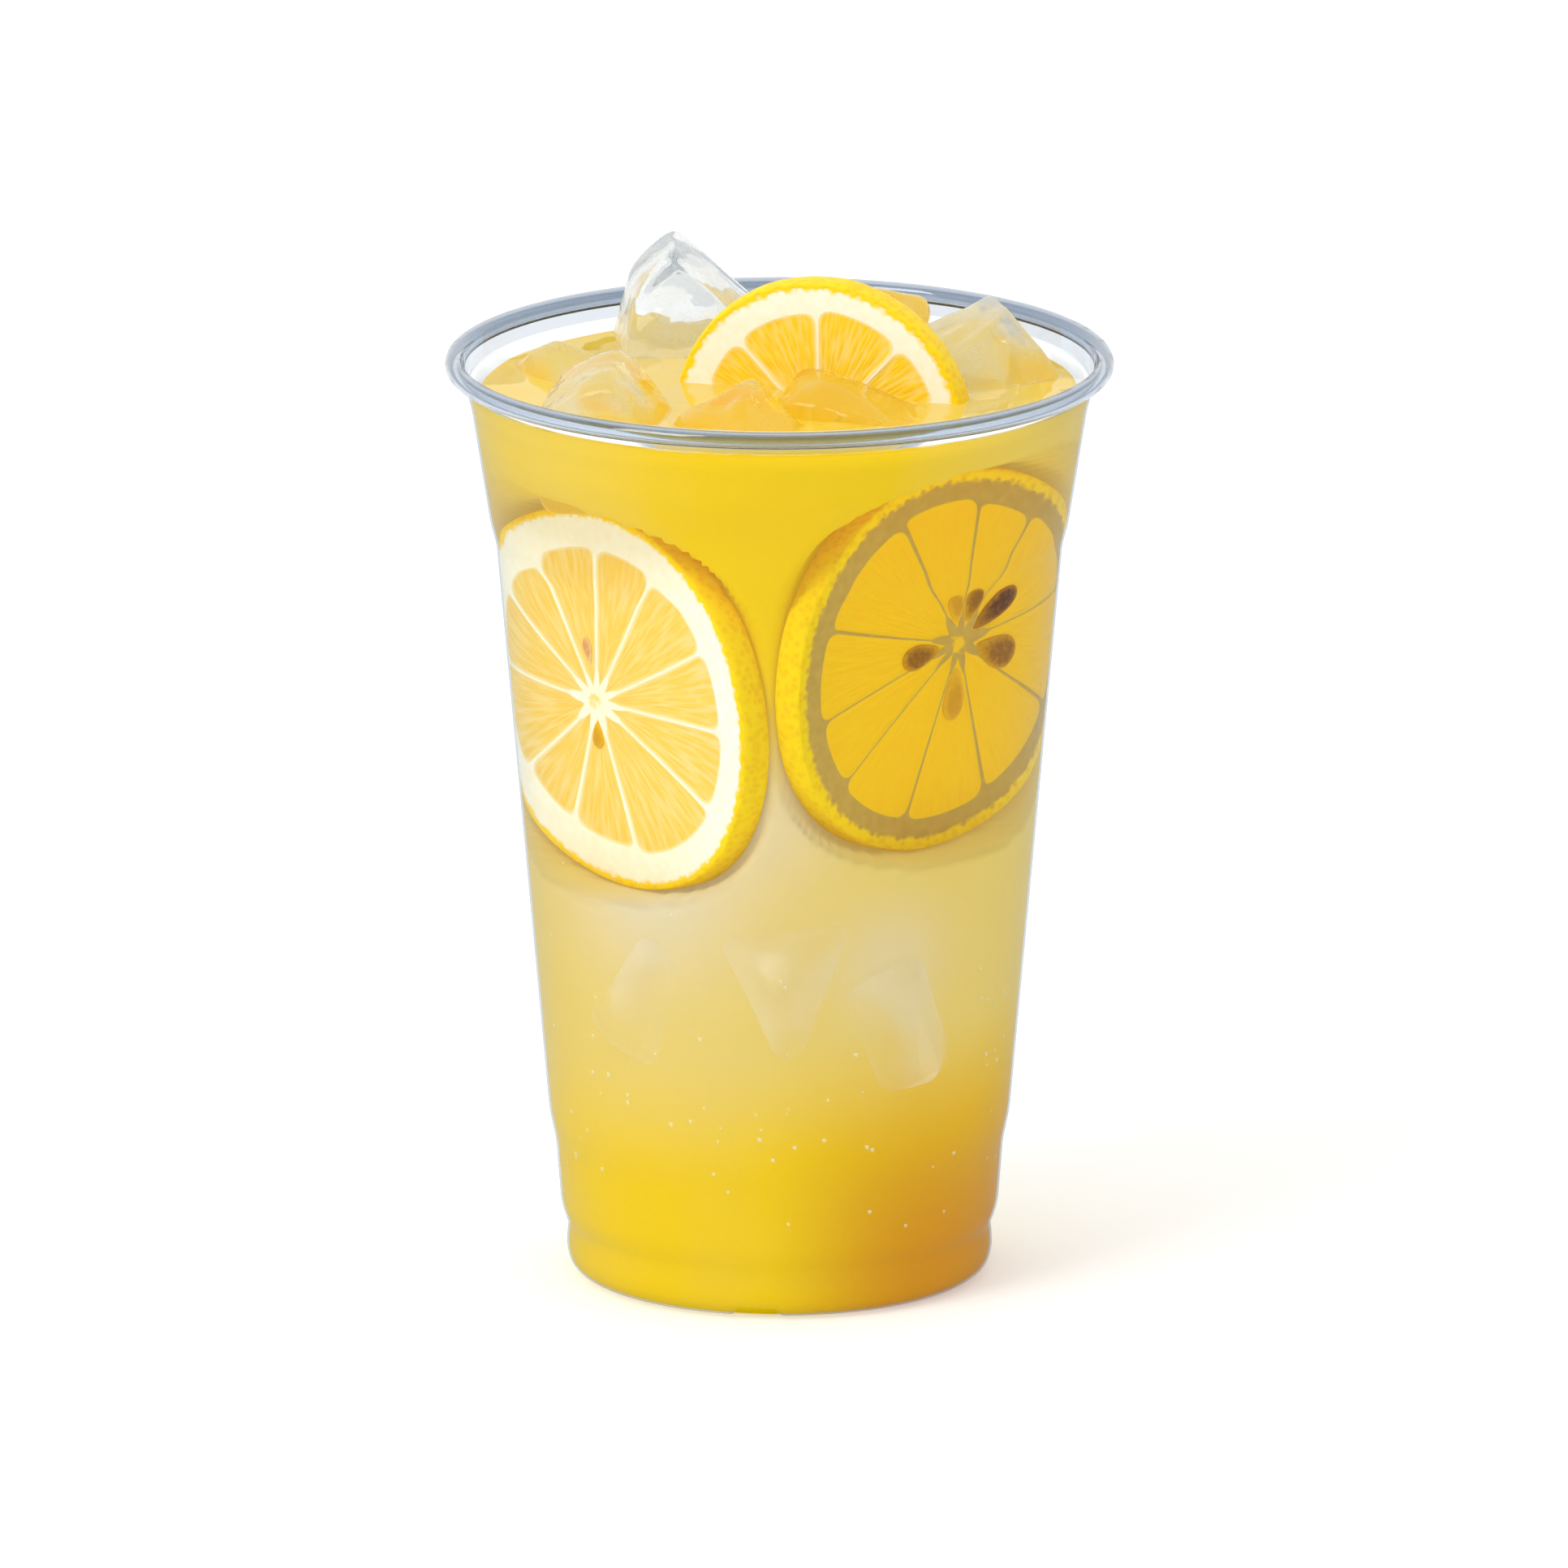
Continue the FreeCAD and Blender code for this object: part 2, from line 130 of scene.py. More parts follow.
# Melted facets of the ice: which way each faces, as bearing and elevation in degrees, and its distance
# from the block's middle in mm.
MELTED_FACETS = {
    "ice_back_left": ((0, 47, 4.4), (180, 52, 11.5), (255, 40, 10.5)),
    "ice_front_right": ((0, 66, 2.2), (185, 50, 7.5), (270, 55, 4.5)),
    "ice_right": ((200, 62, 7.0), (20, 35, 9.5)),
    "ice_front": ((215, 48, 8.0), (330, 45, 8.0)),
    "ice_front_left": ((180, 50, 8.5), (350, 42, 8.0)),
    "ice_left": ((330, 55, 8.0), (230, 40, 9.5)),
    "ice_back": ((250, 50, 8.0),),
}


def linear(hex_colour):
    """The linear light of an sRGB hex colour, as red, green and blue."""
    value = int(hex_colour.lstrip("#"), 16)
    srgb = np.array([value >> shift & 255 for shift in (16, 8, 0)]) / 255
    light = np.where(srgb <= 0.04045, srgb / 12.92, ((srgb + 0.055) / 1.055) ** 2.4)
    return tuple(float(channel) for channel in light)


def rgba(colour):
    """The colour with full opacity, as a shader socket takes it."""
    return (*colour[:3], 1.0)


def colour_property(name, hex_colour, description):
    return bpy.props.FloatVectorProperty(
        name=name, description=description, subtype="COLOR", size=3, min=0, max=1, default=linear(hex_colour)
    )


def length_property(name, millimetres, description):
    return bpy.props.FloatProperty(
        name=name, description=description, subtype="DISTANCE", unit="LENGTH", min=0, default=millimetres * MM
    )


def share_property(name, share, description):
    return bpy.props.FloatProperty(
        name=name, description=description, subtype="FACTOR", min=0, max=1, default=share
    )


class LemonadeCupSettings(bpy.types.PropertyGroup):
    """Sizes and colours of the cup."""

    wall: length_property("Wall", 0.55, "Thickness of the formed sheet")
    bead: length_property("Rim bead", 1.35, "Section radius of the rolled rim")
    columns: bpy.props.IntProperty(name="Columns", description="Steps round the cup", min=48, default=300)
    tint: colour_property("Tint", "#FDFEFF", "Colour that the clear plastic gives what is behind it")
    edge_tint: colour_property("Edge tint", "#B8C3D0", "Colour of the plastic seen along its wall")
    roughness: share_property("Roughness", 0.03, "Roughness of the formed wall")


class LemonadeDrinkSettings(bpy.types.PropertyGroup):
    """Sizes and colours of the drink."""

    clear_edge: length_property("Clear edge", 4.6, "Depth of clear drink in front of the cloudy part")
    surface_skin: length_property("Clear surface", 0.7, "Depth of clear drink over the cloudy part")
    # Painted light: the share of its own colour that the pulp emits, standing in for light that soaks through
    # it.
    painted_glow: share_property("Glow", 0.6, "Light that soaks through the pulp")
    meniscus: length_property("Meniscus", 0.9, "Climb of the surface at the wall")
    juice: colour_property("Juice", "#C6A400", "Settled juice, at the bottom and between the slices")
    cloudy: colour_property("Cloudy", "#BEA656", "Cloudy drink, in the middle")
    milky: colour_property("Milky", "#B9B09F", "Haze round the sunk ice")
    # Painted shade: the darker colour mixed into the cloud low on its right side, away from the key light.
    painted_shade_colour: colour_property("Amber", "#A96400", "Deep juice on the shaded side")
    absorbed: colour_property("Absorption", "#FFEE80", "Colour left in light that crosses the drink")
    density: bpy.props.FloatProperty(name="Density", description="Absorption per metre", default=9.0)


class LemonadeFruitSettings(bpy.types.PropertyGroup):
    """Colours of the lemon slices and seeds."""

    rind: colour_property("Rind", "#FFD900", "Zest of every slice")
    rind_pore: colour_property("Rind pores", "#FACA00", "Oil glands in the zest")
    pith: colour_property("Pith", "#FFFBEE", "Pith of the fresh slices")
    pale_flesh: colour_property("Pale flesh", "#F8D468", "Flesh of the slice at the left")
    fresh_flesh: colour_property("Fresh flesh", "#FFD62E", "Flesh of the slice on top")
    steeped_flesh: colour_property("Steeped flesh", "#FFD000", "Flesh of the slice at the right")
    # Painted shade: the right slice's pith is darker and yellower, partly from soaking in the drink and partly
    # from the shade it lies in.
    steeped_shaded_pith: colour_property("Steeped pith", "#C4A048", "Pith of the slice at the right")
    wet_roughness: share_property("Wetness", 0.22, "Roughness of the cut faces")


class LemonadeIceSettings(bpy.types.PropertyGroup):
    """Sizes and looks of the ice."""

    voxel: length_property("Grain", 0.7, "Mesh size of the melted surface")
    melt: length_property("Melt", 0.8, "Depth of the melted hollows")
    frost: share_property("Frost", 0.45, "White in hazy patches")
    colour: colour_property("Ice", "#F4F8FC", "Colour of the clear ice")
    air: colour_property("Trapped air", "#E4E8EE", "Colour of the hazy patches in the ice")
    sunk: colour_property("Sunk ice", "#FCF4E0", "Colour of the air in the sunk ice")
    # Painted colour: the yellow of the drink seen through the ice.
    steeped: colour_property("Steeped ice", "#FFE070", "Colour of ice that drink clings to")


class LemonadeStudioSettings(bpy.types.PropertyGroup):
    """Floor, lights and camera."""

    floor: colour_property("Floor", "#FCFCFC", "Plain pale floor")
    key: bpy.props.FloatProperty(
        name="Key light", description="Soft light at the left, in watts", default=10.0
    )
    distance: length_property(
        "Camera distance", 5000.0, "Far enough to see the cup almost without perspective"
    )
    elevation: bpy.props.FloatProperty(
        name="Elevation", description="Camera over the level", subtype="ANGLE", default=float(np.radians(14.45))
    )


def add_node(tree, kind, *values, named=None, **settings):
    """Adds a shader node with its settings, and values or links for its inputs, in order or by name."""
    node = tree.nodes.new("ShaderNode" + kind)
    for name, value in settings.items():
        setattr(node, name, value)
    for key, value in [*enumerate(values), *(named or {}).items()]:
        if isinstance(value, bpy.types.Node):
            value = value.outputs[0]
        if isinstance(value, bpy.types.NodeSocket):
            tree.links.new(value, node.inputs[key])
        elif value is not None:
            node.inputs[key].default_value = value
    return node


def new_material(name):
    """An empty material and its node tree."""
    material = bpy.data.materials.new(name)
    material.use_nodes = True
    material.node_tree.nodes.clear()
    return material, material.node_tree


def smoothstep(low, high, value):
    """0 below low, 1 above high and 3t^2 - 2t^3 between them."""
    share = np.clip((value - low) / (high - low), 0, 1)
    return share * share * (3 - 2 * share)


def lattice_noise(points, scale, seed):
    """Soft noise from -1 to 1: random values on a cubic lattice of that scale, blended by 3t^2 - 2t^3."""
    size = 32
    values = np.random.default_rng(seed).uniform(-1, 1, (size, size, size))
    spots = points / scale
    cell = np.floor(spots).astype(int)
    share = smoothstep(0, 1, spots - cell)
    total = np.zeros(len(points))
    for corner in np.ndindex(2, 2, 2):
        weight = np.prod(np.where(corner, share, 1 - share), axis=1)
        total += weight * values[tuple(((cell + corner) % size).T)]
    return total


def turn_matrix(*turns):
    """The product of turns given as (axis, degrees), the first applied last."""
    product = np.eye(3)
    for axis, degrees in turns:
        angle = np.radians(degrees)
        first, second = [other for other in range(3) if other != axis]
        turn = np.eye(3)
        turn[first, first] = turn[second, second] = np.cos(angle)
        sign = -1 if axis == 1 else 1
        turn[first, second], turn[second, first] = -sign * np.sin(angle), sign * np.sin(angle)
        product = product @ turn
    return product


def write_mesh(name, vertices, faces, uv=None, fields=None):
    """A smooth closed mesh from millimetres, its faces turned outwards, with a UV map and point fields."""
    mesh = bpy.data.meshes.new(name)
    mesh.from_pydata((vertices * MM).tolist(), [], [list(face) for face in faces])
    first, second, third = (vertices[[face[corner] for face in faces]] for corner in (0, 1, 2))
    last = vertices[[face[-1] for face in faces]]
    volume = np.einsum("ij,ij->", first, np.cross(second, third) + np.cross(third, last))
    if uv is not None:
        corners = np.empty(len(mesh.loops), int)
        mesh.loops.foreach_get("vertex_index", corners)
        layer = mesh.uv_layers.new(name="UVMap")
        layer.data.foreach_set("uv", uv[corners].astype(np.float32).ravel())
    for field, values in (fields or {}).items():
        attribute = mesh.attributes.new(field, "FLOAT", "POINT")
        attribute.data.foreach_set("value", values.astype(np.float32))
    if volume < 0:
        mesh.flip_normals()
    mesh.polygons.foreach_set("use_smooth", np.ones(len(mesh.polygons), bool))
    mesh.update()
    return mesh


def add_piece(name, mesh, material, slot, *replaced):
    """Puts the mesh in the scene as a piece that rides on the one body."""
    piece = bpy.data.objects.new(name, mesh)
    bpy.context.scene.collection.objects.link(piece)
    mesh.materials.clear()
    mesh.materials.append(material)
    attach(piece, ROOT)
    if replaced:
        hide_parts(*replaced)
    return piece


def around(distance, bearing, height):
    """Points at those distances from the axis, bearings in radians and heights."""
    return np.stack(np.broadcast_arrays(distance * np.cos(bearing), distance * np.sin(bearing), height), -1)


def turned_faces(rings, columns):
    """Faces of a turned shape: a pole, rings of columns, and a pole."""
    column = np.arange(columns)
    following = (column + 1) % columns
    ring = 1 + columns * np.arange(rings - 1)[:, None]
    quads = np.stack(
        [ring + column, ring + following, ring + columns + following, ring + columns + column], -1
    )
    last_ring = 1 + columns * (rings - 1)
    last_pole = 1 + columns * rings
    first_fan = np.stack([np.zeros(columns, int), following + 1, column + 1], -1)
    last_fan = np.stack([last_ring + column, last_ring + following, np.full(columns, last_pole)], -1)
    return [*first_fan.tolist(), *quads.reshape(-1, 4).tolist(), *last_fan.tolist()]


def turn_profile(profile, columns):
    """A profile of (radius, height) whose two ends lie on the axis, turned about Z."""
    bearing = np.linspace(0, WHOLE_TURN, columns, endpoint=False)
    inner = profile[1:-1]
    rings = around(inner[:, :1], bearing, inner[:, 1:]).reshape(-1, 3)
    poles = [[0, 0, profile[0, 1]], [0, 0, profile[-1, 1]]]
    vertices = np.vstack([poles[:1], rings, poles[1:]])
    return vertices, turned_faces(len(inner), columns)


def soften(corners, reach, steps=6):
    """Rounds each corner of a line by a parabola, from reach before it to reach after it, where it fits."""
    corners = np.asarray(corners, float)
    runs = np.diff(corners, axis=0)
    lengths = np.linalg.norm(runs, axis=1)
    ways = runs / lengths[:, None]
    room = np.minimum(reach, 0.45 * np.minimum(lengths[:-1], lengths[1:]))[:, None]
    share = np.linspace(0, 1, steps)[:, None, None]
    middle = corners[1:-1]
    start, end = middle - room * ways[:-1], middle + room * ways[1:]
    curves = (1 - share) ** 2 * start + 2 * share * (1 - share) * middle + share**2 * end
    return np.vstack([corners[:1], curves.transpose(1, 0, 2).reshape(-1, 2), corners[-1:]])


def refine(line, longest):
    """Adds evenly spaced points to a line, so that no step is longer than that."""
    steps = np.linalg.norm(np.diff(line, axis=0), axis=1)
    travel = np.concatenate([[0], np.cumsum(steps)])
    counts = np.maximum(np.ceil(steps / longest), 1).astype(int)
    spans = zip(travel, travel[1:], counts)
    places = np.concatenate([np.linspace(start, end, count, endpoint=False) for start, end, count in spans])
    places = np.append(places, travel[-1])
    return np.stack([np.interp(places, travel, line[:, axis]) for axis in (0, 1)], -1)


def sheet_line(cup):
    """The middle of the cup's sheet as (radius, height): base, foot, band, long wall, ledge and neck."""
    low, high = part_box("cup")
    top = (high.z - low.z) / MM
    half = cup.wall / MM / 2
    outside = [
        (25.0, 2.6), (26.6, 0.0), (27.8, 0.0), (29.55, 0.47), (30.83, 1.75), (31.3, 3.5), (31.22, 5.6),
        (31.0, 7.25), (31.72, 9.0), (32.16, 10.6), (32.3, 12.2), (32.9, 19.8), (33.9, 24.6),
        (41.5, top - 28.1), (42.4, top - 24.8), (45.1, top - 7.65), (46.58 + half, top - cup.bead / MM),
    ]
    middle = [(radius - half, height) for radius, height in outside[3:]]
    foot = [(0.0, 2.6 + half), (25.0, 2.6 + half), (26.5, half), (27.8, half), (29.4, 0.47 + half)]
    return np.array(foot + middle[1:])


def cup_profile(cup):
    """The cup's section: the sheet's middle line and its rolled rim, thickened to both sides."""
    _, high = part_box("cup")
    bead, wall = cup.bead / MM, cup.wall / MM
    roll_radius = bead - wall / 2
    roll = np.radians(np.linspace(180, -90, 28))
    centre = np.array([high.x / MM - bead, high.z / MM - bead])
    curl = centre + roll_radius * np.stack([np.cos(roll), np.sin(roll)], -1)
    wall_line = refine(soften(sheet_line(cup), 1.1), 4.0)
    middle = np.vstack([wall_line[:-1], curl])
    along = np.gradient(middle, axis=0)
    along /= np.linalg.norm(along, axis=1)[:, None]
    across = np.stack([along[:, 1], -along[:, 0]], -1) * wall / 2
    across[0] = (0, -wall / 2)
    return middle, np.vstack([middle + across, (middle - across)[::-1]])


def cut_vent_notches(vertices, width=6.6, depth=0.65, bearing=263.4, count=3):
    """Lifts the foot ring by the notch depth, fading over 0.5 mm at the notch's sides and 4 mm upwards."""
    radius = np.hypot(vertices[:, 0], vertices[:, 1])
    angle = np.degrees(np.arctan2(vertices[:, 1], vertices[:, 0])) - bearing
    pitch = 360 / count
    aside = np.abs((angle + pitch / 2) % pitch - pitch / 2)
    distance = radius * np.sin(np.radians(np.minimum(aside, 90)))
    lift = depth * smoothstep(width / 2 + 0.5, width / 2 - 0.5, distance)
    lift *= np.clip(1 - vertices[:, 2] / 4, 0, 1) * smoothstep(25.0, 26.5, radius)
    vertices[:, 2] += lift
    return vertices


def make_clear_plastic(cup):
    """Thermoformed PET: clear, glossy, faintly blue, and darker where the eye looks along the sheet."""
    material, tree = new_material("clear_pet_plastic")
    facing = add_node(tree, "LayerWeight", 0.35)
    edge = add_node(tree, "Math", facing.outputs["Facing"], 2.2, operation="POWER")
    tint = add_node(tree, "MixRGB", edge, rgba(cup.tint), rgba(cup.edge_tint))
    clear = add_node(tree, "BsdfTransparent", tint)
    gloss = add_node(tree, "BsdfAnisotropic", named={"Roughness": cup.roughness}, distribution="MULTI_GGX")
    reflect = add_node(tree, "Fresnel", 1.5)
    geometry = add_node(tree, "NewGeometry")
    front = add_node(tree, "Math", 1.0, geometry.outputs["Backfacing"], operation="SUBTRACT")
    outside = add_node(tree, "Math", reflect, front, operation="MULTIPLY")
    # Full gloss washes out the drink's colour, so half of it is kept.
    half = add_node(tree, "Math", outside, 0.5, operation="MULTIPLY")
    film = add_node(tree, "MixShader", half, clear, gloss)
    add_node(tree, "OutputMaterial", film)
    return material


def make_rolled_rim(cup):
    """The rolled rim: thicker PET that bends light, so that it shows the studio as fine lines."""
    material, tree = new_material("rolled_pet_rim")
    place = add_node(tree, "TexCoord")
    # Rolling leaves soft waves about 6 mm long.
    drawn = add_node(tree, "TexNoise", place.outputs["Object"], named={"Scale": 160.0, "Detail": 1.0})
    bump = add_node(tree, "Bump", named={"Strength": 0.1, "Distance": 0.0005, "Height": drawn.outputs[0]})
    glass = add_node(
        tree, "BsdfPrincipled",
        named={
            "Base Color": rgba(cup.edge_tint), "Roughness": cup.roughness, "IOR": PET_INDEX,
            "Transmission Weight": 1.0, "Normal": bump,
        },
    )
    add_node(tree, "OutputMaterial", let_lamps_through(tree, glass, cup.tint))
    return material


def let_lamps_through(tree, glass, colour):
    """Glass that lamps' shadow rays and diffuse light cross straight, so that what is inside is lit evenly."""
    path = add_node(tree, "LightPath")
    straight = add_node(
        tree, "Math", path.outputs["Is Shadow Ray"], path.outputs["Is Diffuse Ray"], operation="MAXIMUM"
    )
    clear = add_node(tree, "BsdfTransparent", rgba(colour))
    return add_node(tree, "MixShader", straight, glass, clear)


def make_drink_glass(drink):
    """Clear lemonade: water with sugar, that takes the blue out of light."""
    material, tree = new_material("lemonade_drink")
    glass = add_node(
        tree, "BsdfPrincipled",
        named={"Base Color": WHITE, "Roughness": 0.0, "IOR": DRINK_INDEX, "Transmission Weight": 1.0},
    )
    absorbed = add_node(
        tree, "VolumeAbsorption", named={"Color": rgba(drink.absorbed), "Density": drink.density}
    )
    # Against the plastic the drink bends light on its way in but hardly reflects it on its way out.
    geometry = add_node(tree, "NewGeometry")
    way_in = add_node(tree, "BsdfRefraction", WHITE, 0.0, DRINK_INDEX)
    way_out = add_node(tree, "BsdfTransparent", WHITE)
    against_wall = add_node(tree, "MixShader", geometry.outputs["Backfacing"], way_in, way_out)
    upward = add_node(tree, "SeparateXYZ", geometry.outputs["True Normal"])
    level = add_node(tree, "Math", upward.outputs["Z"], 0.3, operation="GREATER_THAN")
    surface = add_node(tree, "MixShader", level, against_wall, glass)
    shader = let_lamps_through(tree, surface, (1, 1, 1))
    add_node(tree, "OutputMaterial", shader, absorbed)
    return material


def make_cloudy_juice(drink):
    """Fine pulp in lemonade: matt and pale in the middle, clear yellow where it settles."""
    material, tree = new_material("cloudy_juice")
    place = add_node(tree, "TexCoord")
    # Clouds of pulp, about 30 mm across.
    clouds = add_node(
        tree, "TexNoise", place.outputs["Object"], named={"Scale": 32.0, "Detail": 2.0, "Roughness": 0.4}
    )
    settled = add_node(tree, "Attribute", attribute_name="settled")
    milk = add_node(tree, "Attribute", attribute_name="milk")
    shade = add_node(tree, "Attribute", attribute_name="shade")
    drift = add_node(tree, "MapRange", clouds.outputs[0], 0.3, 0.7, -0.14, 0.14)
    juice = add_node(tree, "Math", settled.outputs["Fac"], drift, operation="ADD", use_clamp=True)
    base = add_node(tree, "MixRGB", juice, rgba(drink.cloudy), rgba(drink.juice))
    hazy = add_node(tree, "MixRGB", milk.outputs["Fac"], base, rgba(drink.milky))
    # Painted shade: the cloud turns darker orange low on its right side.
    colour = add_node(tree, "MixRGB", shade.outputs["Fac"], hazy, rgba(drink.painted_shade_colour))
    pulp = add_node(
        tree, "BsdfPrincipled",
        named={
            "Base Color": colour, "Roughness": 1.0, "Specular IOR Level": 0.0,
            # Painted light: the pulp emits a share of its own colour, standing in for light that soaks through
            # it, so its shaded side stays bright.
            "Emission Color": colour, "Emission Strength": drink.painted_glow,
        },
    )
    add_node(tree, "OutputMaterial", pulp)
    return material


def make_lemon(fruit, finish):
    """A cut lemon: waxy zest with oil glands, dry white pith, and wet flesh of radial vesicles."""
    steeped = finish == "steeped"
    flesh_colour = getattr(fruit, f"{finish}_flesh")
    # The soaked slice's pith is also darkened as painted shade.
    pith_colour = fruit.steeped_shaded_pith if steeped else fruit.pith
    material, tree = new_material(f"lemon_{finish}")
    place = add_node(tree, "TexCoord")
    flesh_depth = add_node(tree, "Attribute", attribute_name="flesh_depth").outputs["Fac"]
    skin_depth = add_node(tree, "Attribute", attribute_name="skin_depth").outputs["Fac"]

    # Vesicles: spindles about 1 mm wide and 6 mm long, that point away from the core.
    spindle = add_node(tree, "Mapping", place.outputs["UV"], named={"Scale": (150.0, 5.0, 1.0)})
    sacs = add_node(tree, "TexVoronoi", spindle, named={"Scale": 1.0}, voronoi_dimensions="2D")
    strands = add_node(
        tree, "TexNoise", spindle, named={"Scale": 1.6, "Detail": 3.0}, noise_dimensions="2D"
    )
    # Oil glands of about 1.1 mm, and the fibres of the pith.
    glands = add_node(tree, "TexVoronoi", place.outputs["Object"], named={"Scale": 900.0})
    fibres = add_node(tree, "TexNoise", place.outputs["Object"], named={"Scale": 700.0, "Detail": 4.0})

    paleness = 0.1 if steeped else 0.5
    pale = tuple((1 - paleness) * value + paleness * white for value, white in zip(flesh_colour, pith_colour))
    deep = tuple(value**1.25 for value in flesh_colour)
    streak = add_node(tree, "MapRange", strands.outputs[0], 0.3, 0.75, 0.0, 1.0)
    streaky = add_node(tree, "MixRGB", streak, rgba(deep), rgba(flesh_colour))
    sac_edge = add_node(tree, "MapRange", sacs.outputs["Distance"], 0.25, 0.75, 0.0, 0.35)
    sacked = add_node(tree, "MixRGB", sac_edge, streaky, rgba(pale))
    inside = add_node(tree, "MapRange", flesh_depth, 0.05, 0.55, 0.0, 1.0)
    flesh = add_node(tree, "MixRGB", inside, rgba(pale), sacked)

    mottle = add_node(tree, "MapRange", fibres.outputs[0], 0.35, 0.7, 0.0, 0.16)
    pith = add_node(tree, "MixRGB", mottle, rgba(pith_colour), rgba(fruit.pale_flesh))
    is_flesh = add_node(tree, "MapRange", flesh_depth, -0.06, 0.1, 0.0, 1.0)
    with_flesh = add_node(tree, "MixRGB", is_flesh, pith, flesh)
    # The core is hollow in the middle: an uneven hole of about 2 mm, flesh-coloured inside.
    outward = add_node(tree, "SeparateXYZ", place.outputs["UV"])
    ragged_hole = add_node(tree, "MapRange", fibres.outputs[0], 0.35, 0.65, -0.03, 0.03)
    from_core = add_node(tree, "Math", outward.outputs["Y"], ragged_hole, operation="ADD")
    is_hole = add_node(tree, "MapRange", from_core, 0.05, 0.02, 0.0, 0.8)
    cut_face = add_node(tree, "MixRGB", is_hole, with_flesh, rgba(flesh_colour))

    gland_spot = add_node(tree, "MapRange", glands.outputs["Distance"], 0.15, 0.6, 1.0, 0.0)
    zest = add_node(tree, "MixRGB", gland_spot, rgba(fruit.rind), rgba(fruit.rind_pore))
    ragged = add_node(tree, "MapRange", glands.outputs["Distance"], 0.1, 0.8, 0.35, -0.35)
    edge = add_node(tree, "Math", skin_depth, ragged, operation="ADD")
    zest_depth = SLICE_RADIUS * (0.065 if steeped else 0.045)
    is_zest = add_node(tree, "MapRange", edge, zest_depth + 0.35, zest_depth - 0.35, 0.0, 1.0)
    colour = add_node(tree, "MixRGB", is_zest, cut_face, zest)

    relief = add_node(tree, "MapRange", sacs.outputs["Distance"], 0.0, 0.8, 1.0, 0.0)
    wet = add_node(tree, "Math", relief, is_flesh, operation="MULTIPLY")
    rough_zest = add_node(tree, "Math", gland_spot, is_zest, operation="MULTIPLY")
    height = add_node(tree, "Math", wet, rough_zest, operation="SUBTRACT")
    bump = add_node(tree, "Bump", named={"Strength": 0.35, "Distance": 0.0003, "Height": height})
    # Under the drink the fruit's gloss nearly goes: 1.4 over 1.34.
    index = 1.4 if finish == "fresh" else 1.05
    dryness = add_node(tree, "MapRange", is_flesh, 0.0, 1.0, 0.5, fruit.wet_roughness)
    skin = add_node(
        tree, "BsdfPrincipled",
        named={"Base Color": colour, "Roughness": dryness, "IOR": index, "Normal": bump},
    )
    add_node(tree, "OutputMaterial", skin)
    return material


def make_seed_skin(kind):
    """A lemon seed's skin: smooth and slick, darker along its crest and fading where flesh lies over it."""
    crest, skirt = (linear(colour) for colour in SEED_SKINS[kind])
    material, tree = new_material(f"lemon_seed_{kind}")
    place = add_node(tree, "TexCoord")
    # Fine veins, 0.6 mm apart.
    veins = add_node(tree, "TexNoise", place.outputs["Object"], named={"Scale": 1600.0, "Detail": 3.0})
    rise = add_node(tree, "Attribute", attribute_name="rise").outputs["Fac"]
    uneven = add_node(tree, "MapRange", veins.outputs[0], 0.3, 0.7, -0.25, 0.25)
    share = add_node(tree, "Math", rise, uneven, operation="ADD", use_clamp=True)
    colour = add_node(tree, "MixRGB", share, rgba(skirt), rgba(crest))
    skin = add_node(tree, "BsdfPrincipled", named={"Base Color": colour, "Roughness": 0.35, "IOR": 1.1})
    add_node(tree, "OutputMaterial", skin)
    return material


def make_ice_glass(ice, name, steeped):
    """Melting ice: clear, wavy where the water runs, hazy from trapped air, and painted yellow for the drink
    seen through it.
    """
    material, tree = new_material(name)
    place = add_node(tree, "TexCoord")
    # Melt waves about 6 mm long.
    waves = add_node(tree, "TexNoise", place.outputs["Object"], named={"Scale": 170.0, "Detail": 2.0})
    bump = add_node(tree, "Bump", named={"Strength": 0.4, "Distance": 0.0012, "Height": waves.outputs[0]})
    # Painted yellow, for the drink seen through the ice, in patches of about 12 mm, more towards the bottom.
    patches = add_node(tree, "TexNoise", place.outputs["Object"], named={"Scale": 85.0, "Detail": 2.0})
    rise = add_node(tree, "Attribute", attribute_name="rise").outputs["Fac"]
    dry = add_node(tree, "MapRange", rise, 0.0, 1.0, 0.2, -0.2)
    drink_tint_noise = add_node(tree, "Math", patches.outputs[0], dry, operation="ADD")
    wet = add_node(tree, "MapRange", drink_tint_noise, 0.75 - 0.6 * steeped, 1.0 - 0.6 * steeped, 0.0, 1.0)
    colour = add_node(tree, "MixRGB", wet, rgba(ice.colour), rgba(ice.steeped))
    glass = add_node(
        tree, "BsdfPrincipled",
        named={
            "Base Color": colour, "Roughness": 0.03, "IOR": ICE_INDEX, "Transmission Weight": 1.0,
            "Normal": bump,
        },
    )
    clear = let_lamps_through(tree, glass, ice.colour)
    # Hazy patches of trapped air, about 8 mm across, with ragged edges.
    haze = add_node(tree, "TexNoise", place.outputs["Object"], named={"Scale": 130.0, "Detail": 5.0})
    thick = add_node(tree, "MapRange", haze.outputs[0], 0.38, 0.66, 0.35 * ice.frost, ice.frost)
    thin = add_node(tree, "MapRange", wet, 0.0, 1.0, 1.0, 0.3)
    frosty = add_node(tree, "Math", thick, thin, operation="MULTIPLY")
    # The hazy patches take the painted drink yellow too.
    air = add_node(tree, "MixRGB", wet, rgba(ice.air), rgba(ice.steeped))
    through = add_node(tree, "BsdfTranslucent", air)
    lit = add_node(tree, "BsdfDiffuse", air)
    cloudy = add_node(tree, "MixShader", 0.5, through, lit)
    add_node(tree, "OutputMaterial", add_node(tree, "MixShader", frosty, clear, cloudy))
    return material


